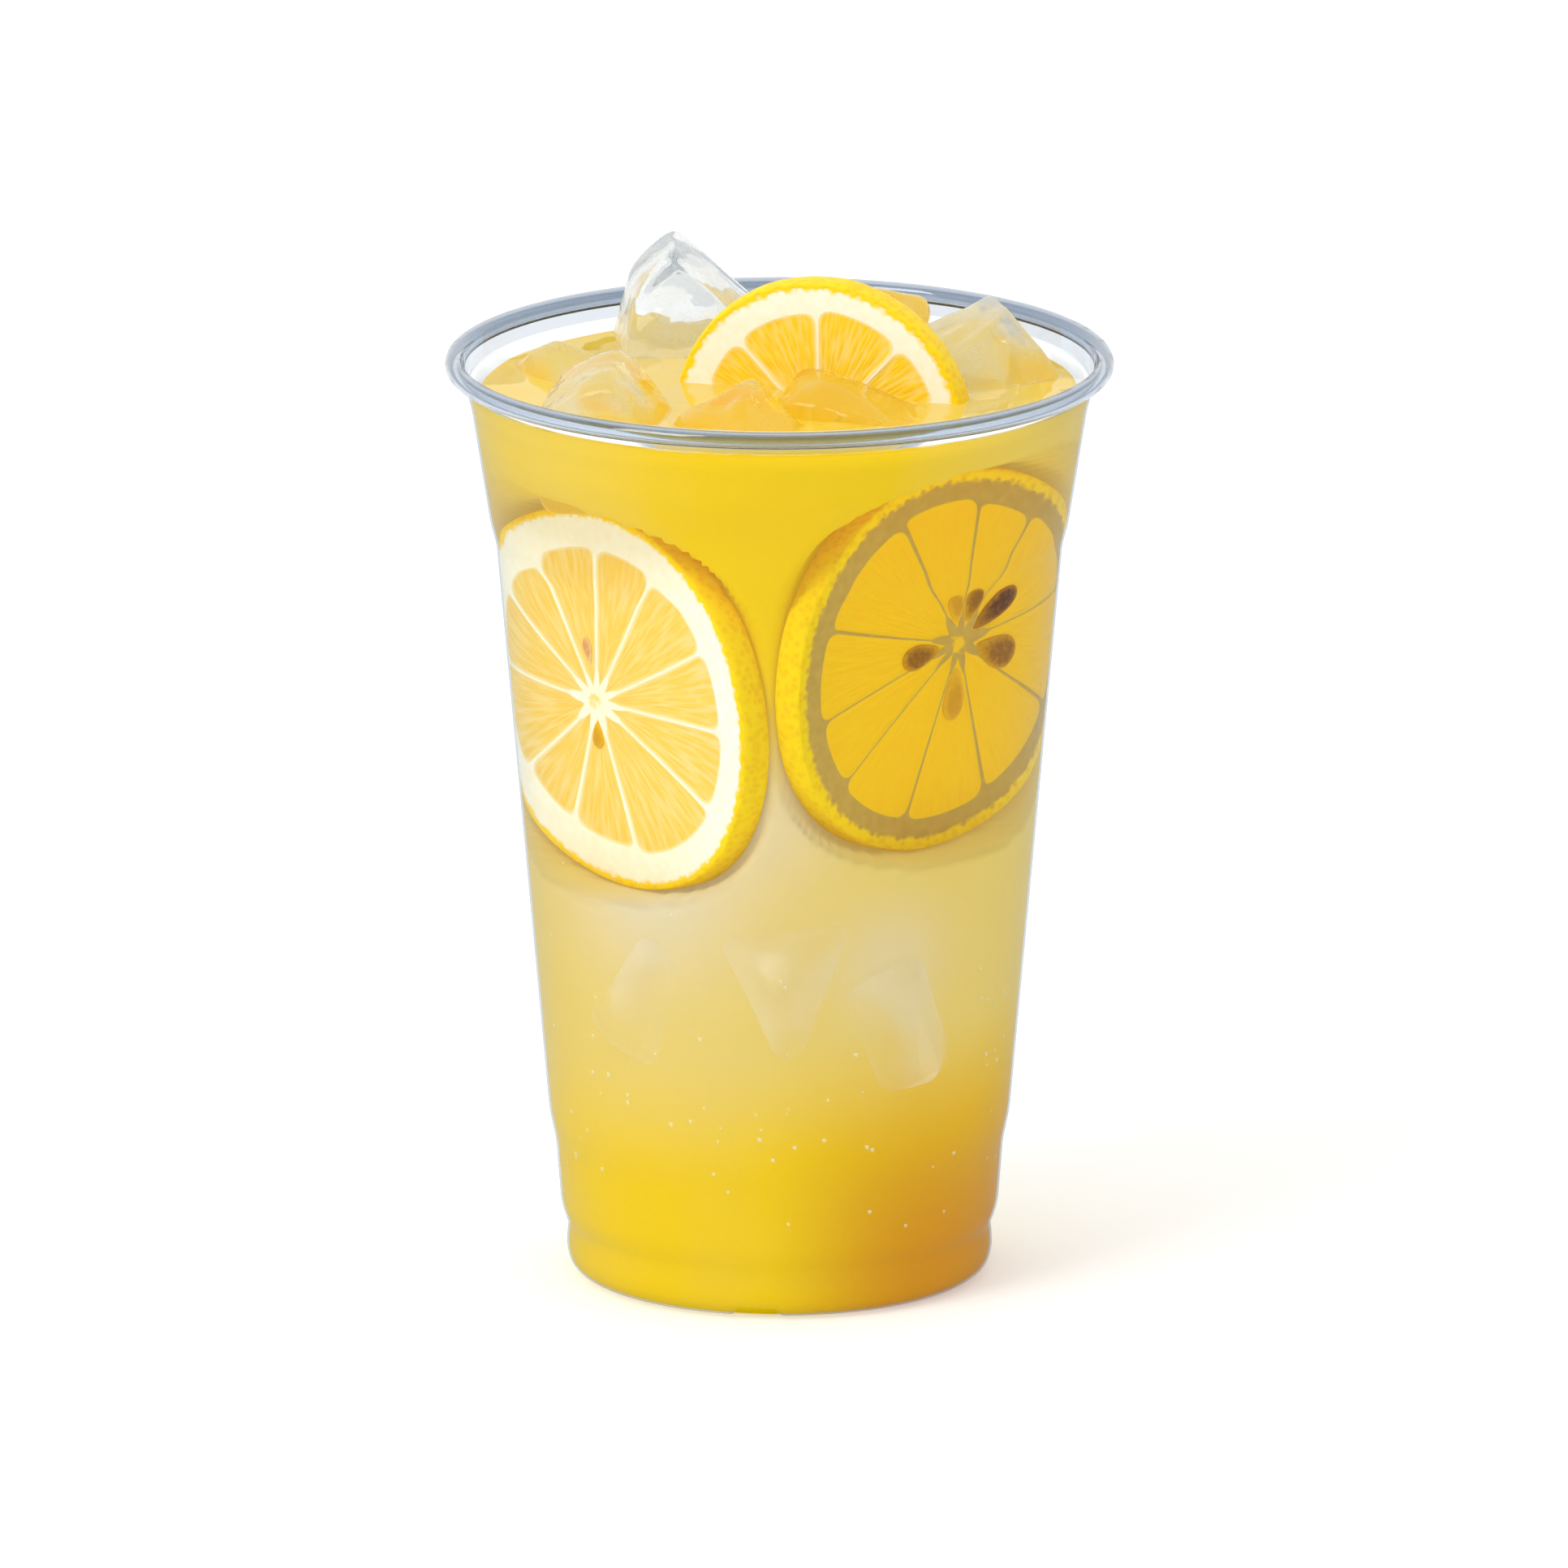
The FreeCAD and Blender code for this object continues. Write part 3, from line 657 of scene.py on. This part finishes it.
def make_sunk_ice(ice):
    """Ice under the drink: its index is nearly the drink's, so that only air and pale edges show."""
    material, tree = new_material("sunk_ice")
    place = add_node(tree, "TexCoord")
    # Air in soft patches of about 10 mm.
    haze = add_node(tree, "TexNoise", place.outputs["Object"], named={"Scale": 100.0, "Detail": 0.0})
    thick = add_node(tree, "MapRange", haze.outputs[0], 0.35, 0.65, 0.04, 0.26)
    clear = add_node(tree, "BsdfTransparent", WHITE)
    air = add_node(tree, "BsdfDiffuse", rgba(ice.sunk))
    add_node(tree, "OutputMaterial", add_node(tree, "MixShader", thick, clear, air))
    return material


def make_air_bubble():
    """A bubble with a painted reflection of what is above it: bright on top, thin and dim at the sides."""
    material, tree = new_material("air_bubble")
    geometry = add_node(tree, "NewGeometry")
    upward = add_node(tree, "SeparateXYZ", geometry.outputs["Normal"])
    # Painted reflection: the upward-facing part of each bubble is mixed towards a bright diffuse colour.
    top = add_node(tree, "MapRange", upward.outputs["Z"], -0.4, 0.6, 0.1, 0.75)
    clear = add_node(tree, "BsdfTransparent", WHITE)
    bright = add_node(tree, "BsdfDiffuse", rgba(linear("#FFF6D0")))
    add_node(tree, "OutputMaterial", add_node(tree, "MixShader", top, clear, bright))
    return material


def make_studio_floor(studio):
    """A matt white sweep."""
    material, tree = new_material("studio_floor")
    place = add_node(tree, "TexCoord")
    grain = add_node(tree, "TexNoise", place.outputs["Object"], named={"Scale": 400.0, "Detail": 2.0})
    share = add_node(tree, "MapRange", grain.outputs[0], 0.3, 0.7, 0.0, 0.02)
    colour = add_node(tree, "MixRGB", share, rgba(studio.floor), rgba(linear("#F2F2F2")))
    matt = add_node(
        tree, "BsdfPrincipled",
        named={
            "Base Color": colour, "Roughness": 1.0, "Specular IOR Level": 0.0,
            "Emission Color": WHITE, "Emission Strength": 0.12,
        },
    )
    add_node(tree, "OutputMaterial", matt)
    return material


def slice_frame(name):
    """The slice's middle, in mm, the turn from its own axes to the world's, its radius and its thickness."""
    form = SLICES[name]
    low, high = (np.array(corner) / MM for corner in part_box(name))
    turn = turn_matrix((2, form["turn"]), (0, 90 + form["lean"]))
    middle = (low + high) / 2
    height = high[2] - low[2]
    thickness = form["thickness"]
    if name == HALF_SLICE:
        middle[2] = low[2]
        return middle, turn, height, thickness
    lean = np.radians(form["lean"])
    return middle, turn, (height - thickness * np.sin(lean)) / 2 / np.cos(lean), thickness


def slice_columns(membranes, half, per_segment):
    """Bearings round the rind, closer together towards each membrane, by (1 - cos) / 2 of even steps."""
    marks = np.radians(membranes)
    ends = marks[1:] if half else np.append(marks[1:], marks[0] + WHOLE_TURN)
    starts = marks[: len(ends)]
    share = (1 - np.cos(np.pi * np.arange(per_segment) / per_segment)) / 2
    bearings = (starts[:, None] + share * (ends - starts)[:, None]).ravel()
    segment = np.repeat(np.arange(len(ends)), per_segment)
    if half:
        return np.append(bearings, ends[-1]), np.append(segment, len(ends) - 1), starts, ends
    return bearings, segment, starts, ends


def soft_minimum(first, second, blend):
    """The smaller of two distances, rounded where they are within blend of each other."""
    share = np.clip(0.5 + 0.5 * (second - first) / blend, 0, 1)
    return second * (1 - share) + first * share - blend * share * (1 - share)


def flesh_depth_at(points, segment, starts, ends, core, flesh_radius, rng):
    """How deep each point of a cut face lies in its segment's flesh, less than 0 in pith or membrane.

    It is the least of the distances to the two membranes, to the segment's own outer arc and to the core,
    rounded into each other. The core is a star: it reaches 1.45 radii along the membranes, by a cosine.
    """
    core = np.asarray(core)
    half_membrane, core_radius = 0.1, 3.0
    reach = flesh_radius + rng.uniform(-0.5, 0.5, len(starts))

    def aside(bearing):
        way = flesh_radius * np.stack([np.cos(bearing), np.sin(bearing)], -1) - core
        way /= np.linalg.norm(way, axis=-1)[..., None]
        away = points - core
        return away[..., 1] * way[..., 0] - away[..., 0] * way[..., 1]

    left = aside(starts[segment]) - half_membrane
    right = -aside(ends[segment]) - half_membrane
    outer = reach[segment] - np.linalg.norm(points, axis=-1)
    mark = 0.5 - 0.5 * np.cos(2 * np.pi * np.clip(left / np.maximum(left + right, 1e-6), 0, 1))
    uneven = rng.uniform(0.8, 1.2, len(starts))[segment]
    inner = np.linalg.norm(points - core, axis=-1) - core_radius * (1.45 - 0.7 * mark) * uneven
    sides = soft_minimum(left, right, 0.4)
    return soft_minimum(soft_minimum(sides, outer, 2.2), inner, 0.8)


def build_slice(name, fruit):
    """A lemon slice: lines from its off-centre core to the rind, on both faces, joined round a bowed rind."""
    form = SLICES[name]
    half = name == HALF_SLICE
    middle, turn, radius, thickness = slice_frame(name)
    rng = np.random.default_rng(len(form["membranes"]))
    bearings, segment, starts, ends = slice_columns(form["membranes"], half, 26)
    core = np.array(form["core"])
    bulge = 0.5
    rows = np.linspace(0, 1, 62)[1:]
    rim = (radius - bulge) * np.stack([np.cos(bearings), np.sin(bearings)], -1)
    face = core + rows[:, None, None] * (rim - core)
    depth = flesh_depth_at(face, segment, starts, ends, core, radius * form["flesh"], rng)
    skin = radius - np.linalg.norm(face, axis=-1)

    # Flesh sits a little under the pith, and its vesicles stand up in it.
    flat = face.reshape(-1, 2)
    bumps = lattice_noise(np.column_stack([flat, np.full(len(flat), radius)]), 1.3, 3).reshape(depth.shape)
    in_flesh = smoothstep(-0.1, 0.7, depth)
    relief = in_flesh * (0.09 * bumps - 0.16)
    side = np.radians(np.linspace(90, -90, 13))[1:-1]
    wobble = 0.16 * lattice_noise(np.column_stack([rim, 0 * bearings]), 4.0, 5)
    side_radius = radius - bulge + (bulge + wobble) * np.cos(side)[:, None]
    side_points = around(side_radius, bearings, thickness / 2 * (1 + np.sin(side)[:, None]))
    front = np.concatenate([face, (thickness + relief)[..., None]], -1)
    back = np.concatenate([face, -relief[..., None]], -1)[::-1]
    rings = np.concatenate([front, side_points, back])
    count = len(bearings)
    local = np.vstack([[[*core, thickness]], rings.reshape(-1, 3), [[*core, 0]]])

    # The core and the rind lie outside the flesh, so their depth in it is negative.
    on_rind = np.ones(side_points[..., 0].size)
    flesh_field, skin_field = (
        np.concatenate([[pole], on_face.ravel(), rind * on_rind, on_face[::-1].ravel(), [pole]])
        for on_face, rind, pole in ((depth, -5.0, -2.0), (skin, 0.0, radius))
    )

    turns = bearings / WHOLE_TURN
    shares = np.concatenate([rows, 1 + 0.08 * np.arange(1, len(side) + 1) / len(side), rows[::-1]])
    uv = np.stack(np.broadcast_arrays(turns, shares[:, None]), -1).reshape(-1, 2)
    uv = np.vstack([[0, 0], uv, [0, 0]])
    faces = half_faces(len(rings), count, len(rows)) if half else turned_faces(len(rings), count)
    vertices = (local - [0, 0, thickness / 2]) @ turn.T + middle
    mesh = write_mesh(name, vertices, faces, uv, {"flesh_depth": flesh_field, "skin_depth": skin_field})
    material = make_lemon(fruit, form["finish"])
    return add_piece(f"{name}_cut", mesh, material, "lemon", name)


def half_faces(rings, columns, rows):
    """Faces of half a slice: as turned_faces without the last column's step, and with its flat cut closed."""
    column = np.arange(columns - 1)
    ring = 1 + columns * np.arange(rings - 1)[:, None]
    quads = np.stack(
        [ring + column, ring + column + 1, ring + columns + column + 1, ring + columns + column], -1
    )
    last_ring, last_pole = 1 + columns * (rings - 1), 1 + columns * rings
    faces = [[0, int(c) + 2, int(c) + 1] for c in column]
    faces += quads.reshape(-1, 4).tolist()
    faces += [[last_ring + int(c), last_ring + int(c) + 1, last_pole] for c in column]
    for end, flip in ((0, False), (columns - 1, True)):
        front = [0] + [1 + columns * row + end for row in range(rows)]
        back = [last_pole] + [1 + columns * (rings - 1 - row) + end for row in range(rows)]
        strip = [[front[k], front[k + 1], back[k + 1], back[k]] for k in range(rows)]
        rind = [1 + columns * ring_index + end for ring_index in range(rows - 1, rings - rows + 1)]
        strip.append(rind)
        faces += [face[::-1] if flip else face for face in strip]
    return faces


def build_seed(name, slice_name, distance, bearing, length, width, material):
    """A lemon seed: an ellipsoid drawn to a point at the core's side, by (1 - 0.42 cos) of its width."""
    form = SLICES[slice_name]
    middle, turn, _, thickness = slice_frame(slice_name)
    along = np.linspace(0, np.pi, 19)
    girth = np.sin(along) * (1 - 0.42 * np.cos(along))
    profile = np.stack([girth * width / 2, -np.cos(along) * length / 2], -1)
    profile[[0, -1], 0] = 0
    upright, faces = turn_profile(profile, 28)
    # Lie the seed down: its length along X, flattened to a third, and turned to point away from the core.
    flat = np.stack([upright[:, 2], upright[:, 0], 0.33 * upright[:, 1]], -1)
    # The flesh lies 0.16 mm under the pith, and the seed's middle about level with it.
    spot = np.array([*form["core"], thickness / 2 - 0.12]) + around(distance, np.radians(bearing), 0)
    placed = (flat @ turn_matrix((2, bearing)).T + spot) @ turn.T + middle
    height = flat[:, 2] / flat[:, 2].max()
    mesh = write_mesh(name, placed, faces, fields={"rise": smoothstep(0.25, 0.95, height)})
    return add_piece(name, mesh, material, "lemon")


def melted_mesh(node, ice, seed):
    """The node's block with an even mesh, cut to its facets and sunk by soft noise of 8 mm and of 3 mm.

    Its field "rise" goes from 0 at the drink's surface to 1 at the block's top.
    """
    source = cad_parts[node].data.copy()
    block = bpy.data.objects.new(f"{node}_block", source)
    bpy.context.scene.collection.objects.link(block)
    weld = block.modifiers.new("weld", "WELD")
    weld.merge_threshold = 0.01 * MM
    even = block.modifiers.new("even", "REMESH")
    even.mode = "VOXEL"
    even.voxel_size = ice.voxel
    relax = block.modifiers.new("relax", "SMOOTH")
    relax.factor, relax.iterations = 0.5, 8
    mesh = bpy.data.meshes.new_from_object(block.evaluated_get(bpy.context.evaluated_depsgraph_get()))
    bpy.data.objects.remove(block)
    points = np.empty(len(mesh.vertices) * 3, np.float32)
    mesh.vertices.foreach_get("co", points)
    points = points.reshape(-1, 3) / MM
    rounding = 0.8
    normals = np.array([vertex.normal for vertex in mesh.vertices])
    middle = (points.min(0) + points.max(0)) / 2
    for bearing, elevation, distance in MELTED_FACETS.get(node, ()):
        across, up = np.radians(bearing), np.radians(elevation)
        way = np.array([np.cos(across) * np.cos(up), np.sin(across) * np.cos(up), np.sin(up)])
        beyond = (points - middle) @ way - distance
        # Log(1 + exp) presses back what stands out, and rounds the facet's edge by about a millimetre.
        points -= np.logaddexp(0, beyond / rounding)[:, None] * rounding * way
    waves = 0.7 * lattice_noise(points, 8.0, seed) + 0.3 * lattice_noise(points, 3.2, seed + 1)
    depth = ice.melt / MM * (waves - 0.45)
    points += normals * depth[:, None]
    rise = mesh.attributes.new("rise", "FLOAT", "POINT")
    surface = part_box("lemonade")[1].z / MM
    span = points[:, 2].max() - surface
    rise.data.foreach_set("value", np.clip((points[:, 2] - surface) / span, 0, 1).astype(np.float32))
    mesh.vertices.foreach_set("co", (points * MM).astype(np.float32).ravel())
    mesh.polygons.foreach_set("use_smooth", np.ones(len(mesh.polygons), bool))
    mesh.update()
    return mesh


def rounded_cube(edge, rounding, steps):
    """A cube with rounded edges: six grids, kept inside the smaller cube and pushed out by rounding."""
    line = np.tan(np.linspace(-np.pi / 4, np.pi / 4, steps + 1))
    across, up = np.meshgrid(line, line, indexing="ij")
    out = np.ones_like(across)
    sides = [
        np.stack(side, -1).reshape(-1, 3)
        for side in (
            (out, across, up), (-out, up, across), (up, out, across), (across, -out, up), (across, up, out),
            (up, across, -out),
        )
    ]
    points = np.vstack(sides) * edge / 2
    inner = np.clip(points, -edge / 2 + rounding, edge / 2 - rounding)
    away = points - inner
    away /= np.maximum(np.linalg.norm(away, axis=1), 1e-9)[:, None]
    points = inner + away * rounding
    cell = np.arange(steps)
    corner = (cell[:, None] * (steps + 1) + cell).ravel()
    quads = np.stack([corner, corner + steps + 1, corner + steps + 2, corner + 1], -1)
    faces = np.vstack([quads + side * (steps + 1) ** 2 for side in range(len(sides))])
    _, first, merged = np.unique(np.round(points, 6), axis=0, return_index=True, return_inverse=True)
    return points[first], merged.ravel()[faces]


class LEMONADE_OT_cup(bpy.types.Operator):
    """Makes the clear cup."""

    bl_idname = "lemonade.cup"
    bl_label = "Cup"

    def execute(self, context):
        cup = context.scene.lemonade_cup
        _, section = cup_profile(cup)
        vertices, faces = turn_profile(section, cup.columns)
        mesh = write_mesh("cup_wall", cut_vent_notches(vertices), faces)
        add_piece("cup_wall", mesh, make_clear_plastic(cup), "clear_plastic", "cup")
        mesh.materials.append(make_rolled_rim(cup))
        _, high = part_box("cup")
        roll_bottom = high.z - 2 * cup.bead
        rolled = [face.center.z > roll_bottom for face in mesh.polygons]
        mesh.polygons.foreach_set("material_index", np.array(rolled, np.int32))
        return {"FINISHED"}


def inner_radius(cup, heights, inset):
    """The radius of the cup's inside at those heights, less the inset, from the sheet outside the base."""
    middle, _ = cup_profile(cup)
    rising = middle[: int(np.argmax(middle[:, 1])) + 1]
    wall = rising[rising[:, 0] > 26.0]
    return np.interp(heights, wall[:, 1], wall[:, 0]) - cup.wall / MM / 2 - inset


class LEMONADE_OT_drink(bpy.types.Operator):
    """Makes the clear drink, which reaches into the wall, and the cloud of pulp inside it."""

    bl_idname = "lemonade.drink"
    bl_label = "Drink"

    def execute(self, context):
        cup, drink = context.scene.lemonade_cup, context.scene.lemonade_drink
        _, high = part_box("lemonade")
        surface = high.z / MM
        middle, _ = cup_profile(cup)
        climb = drink.meniscus / MM
        side = middle[: int(np.argmax(middle[:, 1]))]
        side = side[(side[:, 1] < surface + climb - 0.3) | (side[:, 0] < 26)]
        edge = np.interp(surface + climb, middle[: len(side) + 4, 1], middle[: len(side) + 4, 0])
        # Steps are short on the meniscus, and 3 mm from 12 mm inwards.
        near = [0, 0.15, 0.35, 0.6, 0.9, 1.3, 1.8, 2.5, 3.4, 4.6, 6.2, 8.5]
        level = edge - np.concatenate([near, np.arange(12, edge, 3)])
        top = np.stack([level, surface + climb * np.exp((level - edge) / 1.4)], -1)
        profile = np.vstack([side, top, [[0, surface]]])
        vertices, faces = turn_profile(profile, cup.columns)
        ripple = 0.12 * lattice_noise(vertices, 9.0, 21) + 0.05 * lattice_noise(vertices, 4.0, 22)
        is_top = (vertices[:, 2] > surface - 0.2) & (np.hypot(vertices[:, 0], vertices[:, 1]) < edge - 2)
        vertices[:, 2] += np.where(is_top, ripple, 0)
        mesh = write_mesh("lemonade_drink", vertices, faces)
        add_piece("lemonade_drink", mesh, make_drink_glass(drink), "lemonade", "lemonade")
        self.build_cloud(cup, drink, surface)
        return {"FINISHED"}

    def build_cloud(self, cup, drink, surface):
        """The cloud: the cup's inside less a clear edge, flattened behind each sunk slice."""
        columns, floor, crown = 256, 1.2, 1.6
        top = surface - drink.surface_skin / MM
        shoulder = top - crown
        rounded = shoulder + crown * np.sin(np.linspace(0, np.pi / 2, 16))[1:-1]
        heights = np.concatenate([np.linspace(floor, shoulder, 130), rounded])
        bearing = np.linspace(0, WHOLE_TURN, columns, endpoint=False)
        edge = drink.clear_edge / MM * (0.35 + 0.65 * smoothstep(10, 45, heights))
        edge *= 1 - 0.8 * smoothstep(top - 16, top - 5, heights)
        rounding = np.clip((heights - shoulder) / crown, 0, 1)
        wall = inner_radius(cup, heights, 0) - edge - crown * (1 - np.sqrt(1 - 0.96 * rounding**2))
        reach = np.broadcast_to(wall[:, None], (len(heights), columns)).copy()
        for name in SUNK_SLICES:
            reach = self.press_behind(name, reach, bearing, heights[:, None])
        rings = around(reach, bearing, heights[:, None]).reshape(-1, 3)
        vertices = np.vstack([[[0, 0, heights[1]]], rings, [[0, 0, top]]])
        faces = turned_faces(len(heights), columns)
        mesh = write_mesh("lemonade_cloud", vertices, faces, fields=self.cloud_fields(vertices))
        add_piece("lemonade_cloud", mesh, make_cloudy_juice(drink), "lemonade")

    @staticmethod
    def press_behind(name, reach, bearing, heights):
        """Keeps the cloud behind a slice's back, and lets it out again over 1.3 mm round the rind."""
        middle, turn, radius, thickness = slice_frame(name)
        normal = turn[:, 2]
        ways = around(1, bearing, 0)
        toward = ways @ normal
        behind = middle @ normal - thickness / 2 - 0.4
        limit = (behind - normal[2] * heights) / np.maximum(toward, 0.05)
        spot = limit[..., None] * ways + np.array([0, 0, 1]) * heights[..., None] - middle
        aside = np.linalg.norm(spot - (spot @ normal)[..., None] * normal, axis=-1)
        carve = smoothstep(radius + 1.4, radius + 0.1, aside) * (toward > 0.05)
        return np.where(limit < reach, reach + (limit - reach) * carve, reach)

    @staticmethod
    def cloud_fields(vertices):
        """Where the cloud is settled juice, where it is milky, and where it is painted darker as shade, low on
        the right.
        """
        x, y, z = vertices.T
        angle = np.degrees(np.arctan2(y, x)) % 360
        between = np.exp(-(((angle - 268) / 30) ** 2)) * smoothstep(52, 104, z)
        settled = smoothstep(45, 20, z - 0.14 * x) + between + 0.45 * smoothstep(108, 126, z)
        milk = np.zeros(len(z))
        for bearing, height, width, amount in HAZES:
            gap = np.linalg.norm(vertices - around(30, np.radians(bearing), height), axis=1)
            milk += amount * np.exp(-((gap / width) ** 2))
        # Painted shade: low on the right front, away from the key light at the left.
        shade = 0.8 * smoothstep(0.3, 1, np.cos(np.radians(angle - 335))) * smoothstep(46, 6, z)
        return {"settled": np.clip(settled, 0, 1), "milk": np.clip(milk, 0, 1), "shade": shade}


class LEMONADE_OT_slices(bpy.types.Operator):
    """Makes the three lemon slices and their seeds."""

    bl_idname = "lemonade.slices"
    bl_label = "Lemon slices"

    def execute(self, context):
        fruit = context.scene.lemonade_fruit
        for name in SLICES:
            build_slice(name, fruit)
        skins = {kind: make_seed_skin(kind) for kind in SEED_SKINS}
        for number, (*place, kind) in enumerate(SEEDS, start=1):
            build_seed(f"lemon_seed_{number}", *place, skins[kind])
        return {"FINISHED"}


class LEMONADE_OT_ice(bpy.types.Operator):
    """Makes the ice that stands out of the drink and the cubes that are sunk in it."""

    bl_idname = "lemonade.ice"
    bl_label = "Ice"

    def execute(self, context):
        ice = context.scene.lemonade_ice
        for number, node in enumerate(ICE_NODES):
            clear = make_ice_glass(ice, f"melting_{node}", PAINTED_DRINK_TINT[node])
            add_piece(f"{node}_melted", melted_mesh(node, ice, 10 * number), clear, "ice", node)
        sunk = make_sunk_ice(ice)
        for number, (bearing, distance, height, edge, *turns) in enumerate(SUNK_CUBES, start=1):
            points, faces = rounded_cube(edge, 2.2, 14)
            points *= 1 + 0.02 * lattice_noise(points, 9.0, number)[:, None]
            turn = turn_matrix((2, bearing), (2, turns[0]), (1, turns[1]), (0, turns[2]))
            spot = around(distance, np.radians(bearing), height)
            mesh = write_mesh(f"sunk_ice_{number}", points @ turn.T + spot, faces.tolist())
            add_piece(f"sunk_ice_{number}", mesh, sunk, "ice")
        return {"FINISHED"}


class LEMONADE_OT_bubbles(bpy.types.Operator):
    """Makes the small bubbles that cling to the inside of the wall."""

    bl_idname = "lemonade.bubbles"
    bl_label = "Bubbles"

    def execute(self, context):
        cup = context.scene.lemonade_cup
        rng = np.random.default_rng(7)
        count = 170
        height = 12 + 60 * rng.beta(1.3, 2.2, count)
        bearing = rng.uniform(0, WHOLE_TURN, count)
        size = rng.uniform(0.12, 0.34, count)
        distance = inner_radius(cup, height, 0.4)
        centres = around(distance, bearing, height)
        half_turn = np.linspace(0, np.pi, 8)
        ball, faces = turn_profile(np.stack([np.sin(half_turn), -np.cos(half_turn)], -1), 10)
        vertices = (ball * size[:, None, None] + centres[:, None]).reshape(-1, 3)
        starts = len(ball) * np.arange(count)
        all_faces = [[index + start for index in face] for start in starts.tolist() for face in faces]
        mesh = write_mesh("air_bubbles", vertices, all_faces)
        add_piece("air_bubbles", mesh, make_air_bubble(), "lemonade")
        return {"FINISHED"}


class LEMONADE_OT_studio(bpy.types.Operator):
    """Makes the floor, the lights and the camera."""

    bl_idname = "lemonade.studio"
    bl_label = "Studio"

    def execute(self, context):
        scene, studio = context.scene, context.scene.lemonade_studio
        low, _ = CAD_BOX
        size = 6000
        corners = np.array([[-1, -1, 0], [1, -1, 0], [1, 1, 0], [-1, 1, 0]]) * size / 2
        mesh = bpy.data.meshes.new("studio_floor")
        mesh.from_pydata((corners * MM + [0, 0, low[2]]).tolist(), [], [[0, 1, 2, 3]])
        mesh.materials.append(make_studio_floor(studio))
        floor = bpy.data.objects.new("studio_floor", mesh)
        scene.collection.objects.link(floor)
        self.light(scene, studio)
        self.aim_camera(scene, studio)
        scene.view_settings.view_transform = "Standard"
        scene.cycles.transparent_max_bounces = 24
        scene.cycles.max_bounces = 8
        scene.cycles.diffuse_bounces = 2
        scene.cycles.glossy_bounces = 3
        scene.cycles.transmission_bounces = 8
        return {"FINISHED"}

    def light(self, scene, studio):
        """A bright sweep all round and overhead, dim behind the camera, and a soft key at the left."""
        world = bpy.data.worlds.new("studio")
        world.use_nodes = True
        tree = world.node_tree
        tree.nodes.clear()
        way = add_node(tree, "TexCoord")
        axes = add_node(tree, "SeparateXYZ", way.outputs["Generated"])
        behind, overhead = (
            add_node(tree, "MapRange", axes.outputs[axis], low, high, 0.0, 1.0, interpolation_type="SMOOTHSTEP")
            for axis, low, high in (("Y", -0.85, -0.1), ("Z", 0.25, 0.75))
        )
        lit = add_node(tree, "Math", behind, overhead, operation="MAXIMUM")
        colour = add_node(tree, "MixRGB", lit, rgba(linear("#AEB4BA")), WHITE)
        sky = add_node(tree, "Background", colour, 1.0)
        add_node(tree, "OutputWorld", sky)
        scene.world = world
        place, span = np.array([-900, -800, 1100]) * MM, 700 * MM
        lamp = bpy.data.lights.new("key", "AREA")
        lamp.size = span
        lamp.energy = studio.key
        lamp.color = linear("#FFFDF8")
        holder = bpy.data.objects.new("key", lamp)
        holder.location = place
        holder.rotation_euler = direction_turn(np.array([0, 0, 80]) * MM - place)
        scene.collection.objects.link(holder)

    def aim_camera(self, scene, studio):
        """A long lens in front, a little above the rim, aimed at the cup's middle."""
        low, _ = CAD_BOX
        target = np.array([0.66, 0.0, low[2] / MM + 73.3]) * MM
        away = np.array([0, -np.cos(studio.elevation), np.sin(studio.elevation)])
        camera = bpy.data.cameras.new("camera")
        camera.sensor_width = 36.0
        camera.lens = 782.0
        camera.clip_end = 50.0
        holder = bpy.data.objects.new("camera", camera)
        holder.location = target + studio.distance * away
        holder.rotation_euler = direction_turn(-away)
        scene.collection.objects.link(holder)
        scene.camera = holder


def direction_turn(way):
    """The turn of a lamp or camera that looks that way with +Z up in its picture."""
    return mathutils.Vector(way).to_track_quat("-Z", "Y").to_euler()


OPERATORS = (
    LEMONADE_OT_studio, LEMONADE_OT_cup, LEMONADE_OT_drink, LEMONADE_OT_slices, LEMONADE_OT_ice,
    LEMONADE_OT_bubbles,
)
SETTINGS = {
    "lemonade_cup": LemonadeCupSettings,
    "lemonade_drink": LemonadeDrinkSettings,
    "lemonade_fruit": LemonadeFruitSettings,
    "lemonade_ice": LemonadeIceSettings,
    "lemonade_studio": LemonadeStudioSettings,
}


class LEMONADE_PT_panel(bpy.types.Panel):
    """The sizes, colours and pieces, in the sidebar."""

    bl_idname = "LEMONADE_PT_panel"
    bl_label = "Cup of iced lemonade"
    bl_space_type = "VIEW_3D"
    bl_region_type = "UI"
    bl_category = "Lemonade"

    def draw(self, context):
        for name, group in SETTINGS.items():
            box = self.layout.box()
            box.label(text=name.replace("_", " ").capitalize())
            for setting in group.__annotations__:
                box.prop(getattr(context.scene, name), setting)
        for operator in OPERATORS:
            self.layout.operator(operator.bl_idname)


def register():
    for group in (*SETTINGS.values(), *OPERATORS, LEMONADE_PT_panel):
        bpy.utils.register_class(group)
    for name, group in SETTINGS.items():
        setattr(bpy.types.Scene, name, bpy.props.PointerProperty(type=group))


def unregister():
    for name in SETTINGS:
        delattr(bpy.types.Scene, name)
    for group in reversed((*SETTINGS.values(), *OPERATORS, LEMONADE_PT_panel)):
        bpy.utils.unregister_class(group)


def main():
    register()
    for operator in OPERATORS:
        getattr(bpy.ops.lemonade, operator.bl_idname.split(".")[1])()


if __name__ == "__main__":
    main()
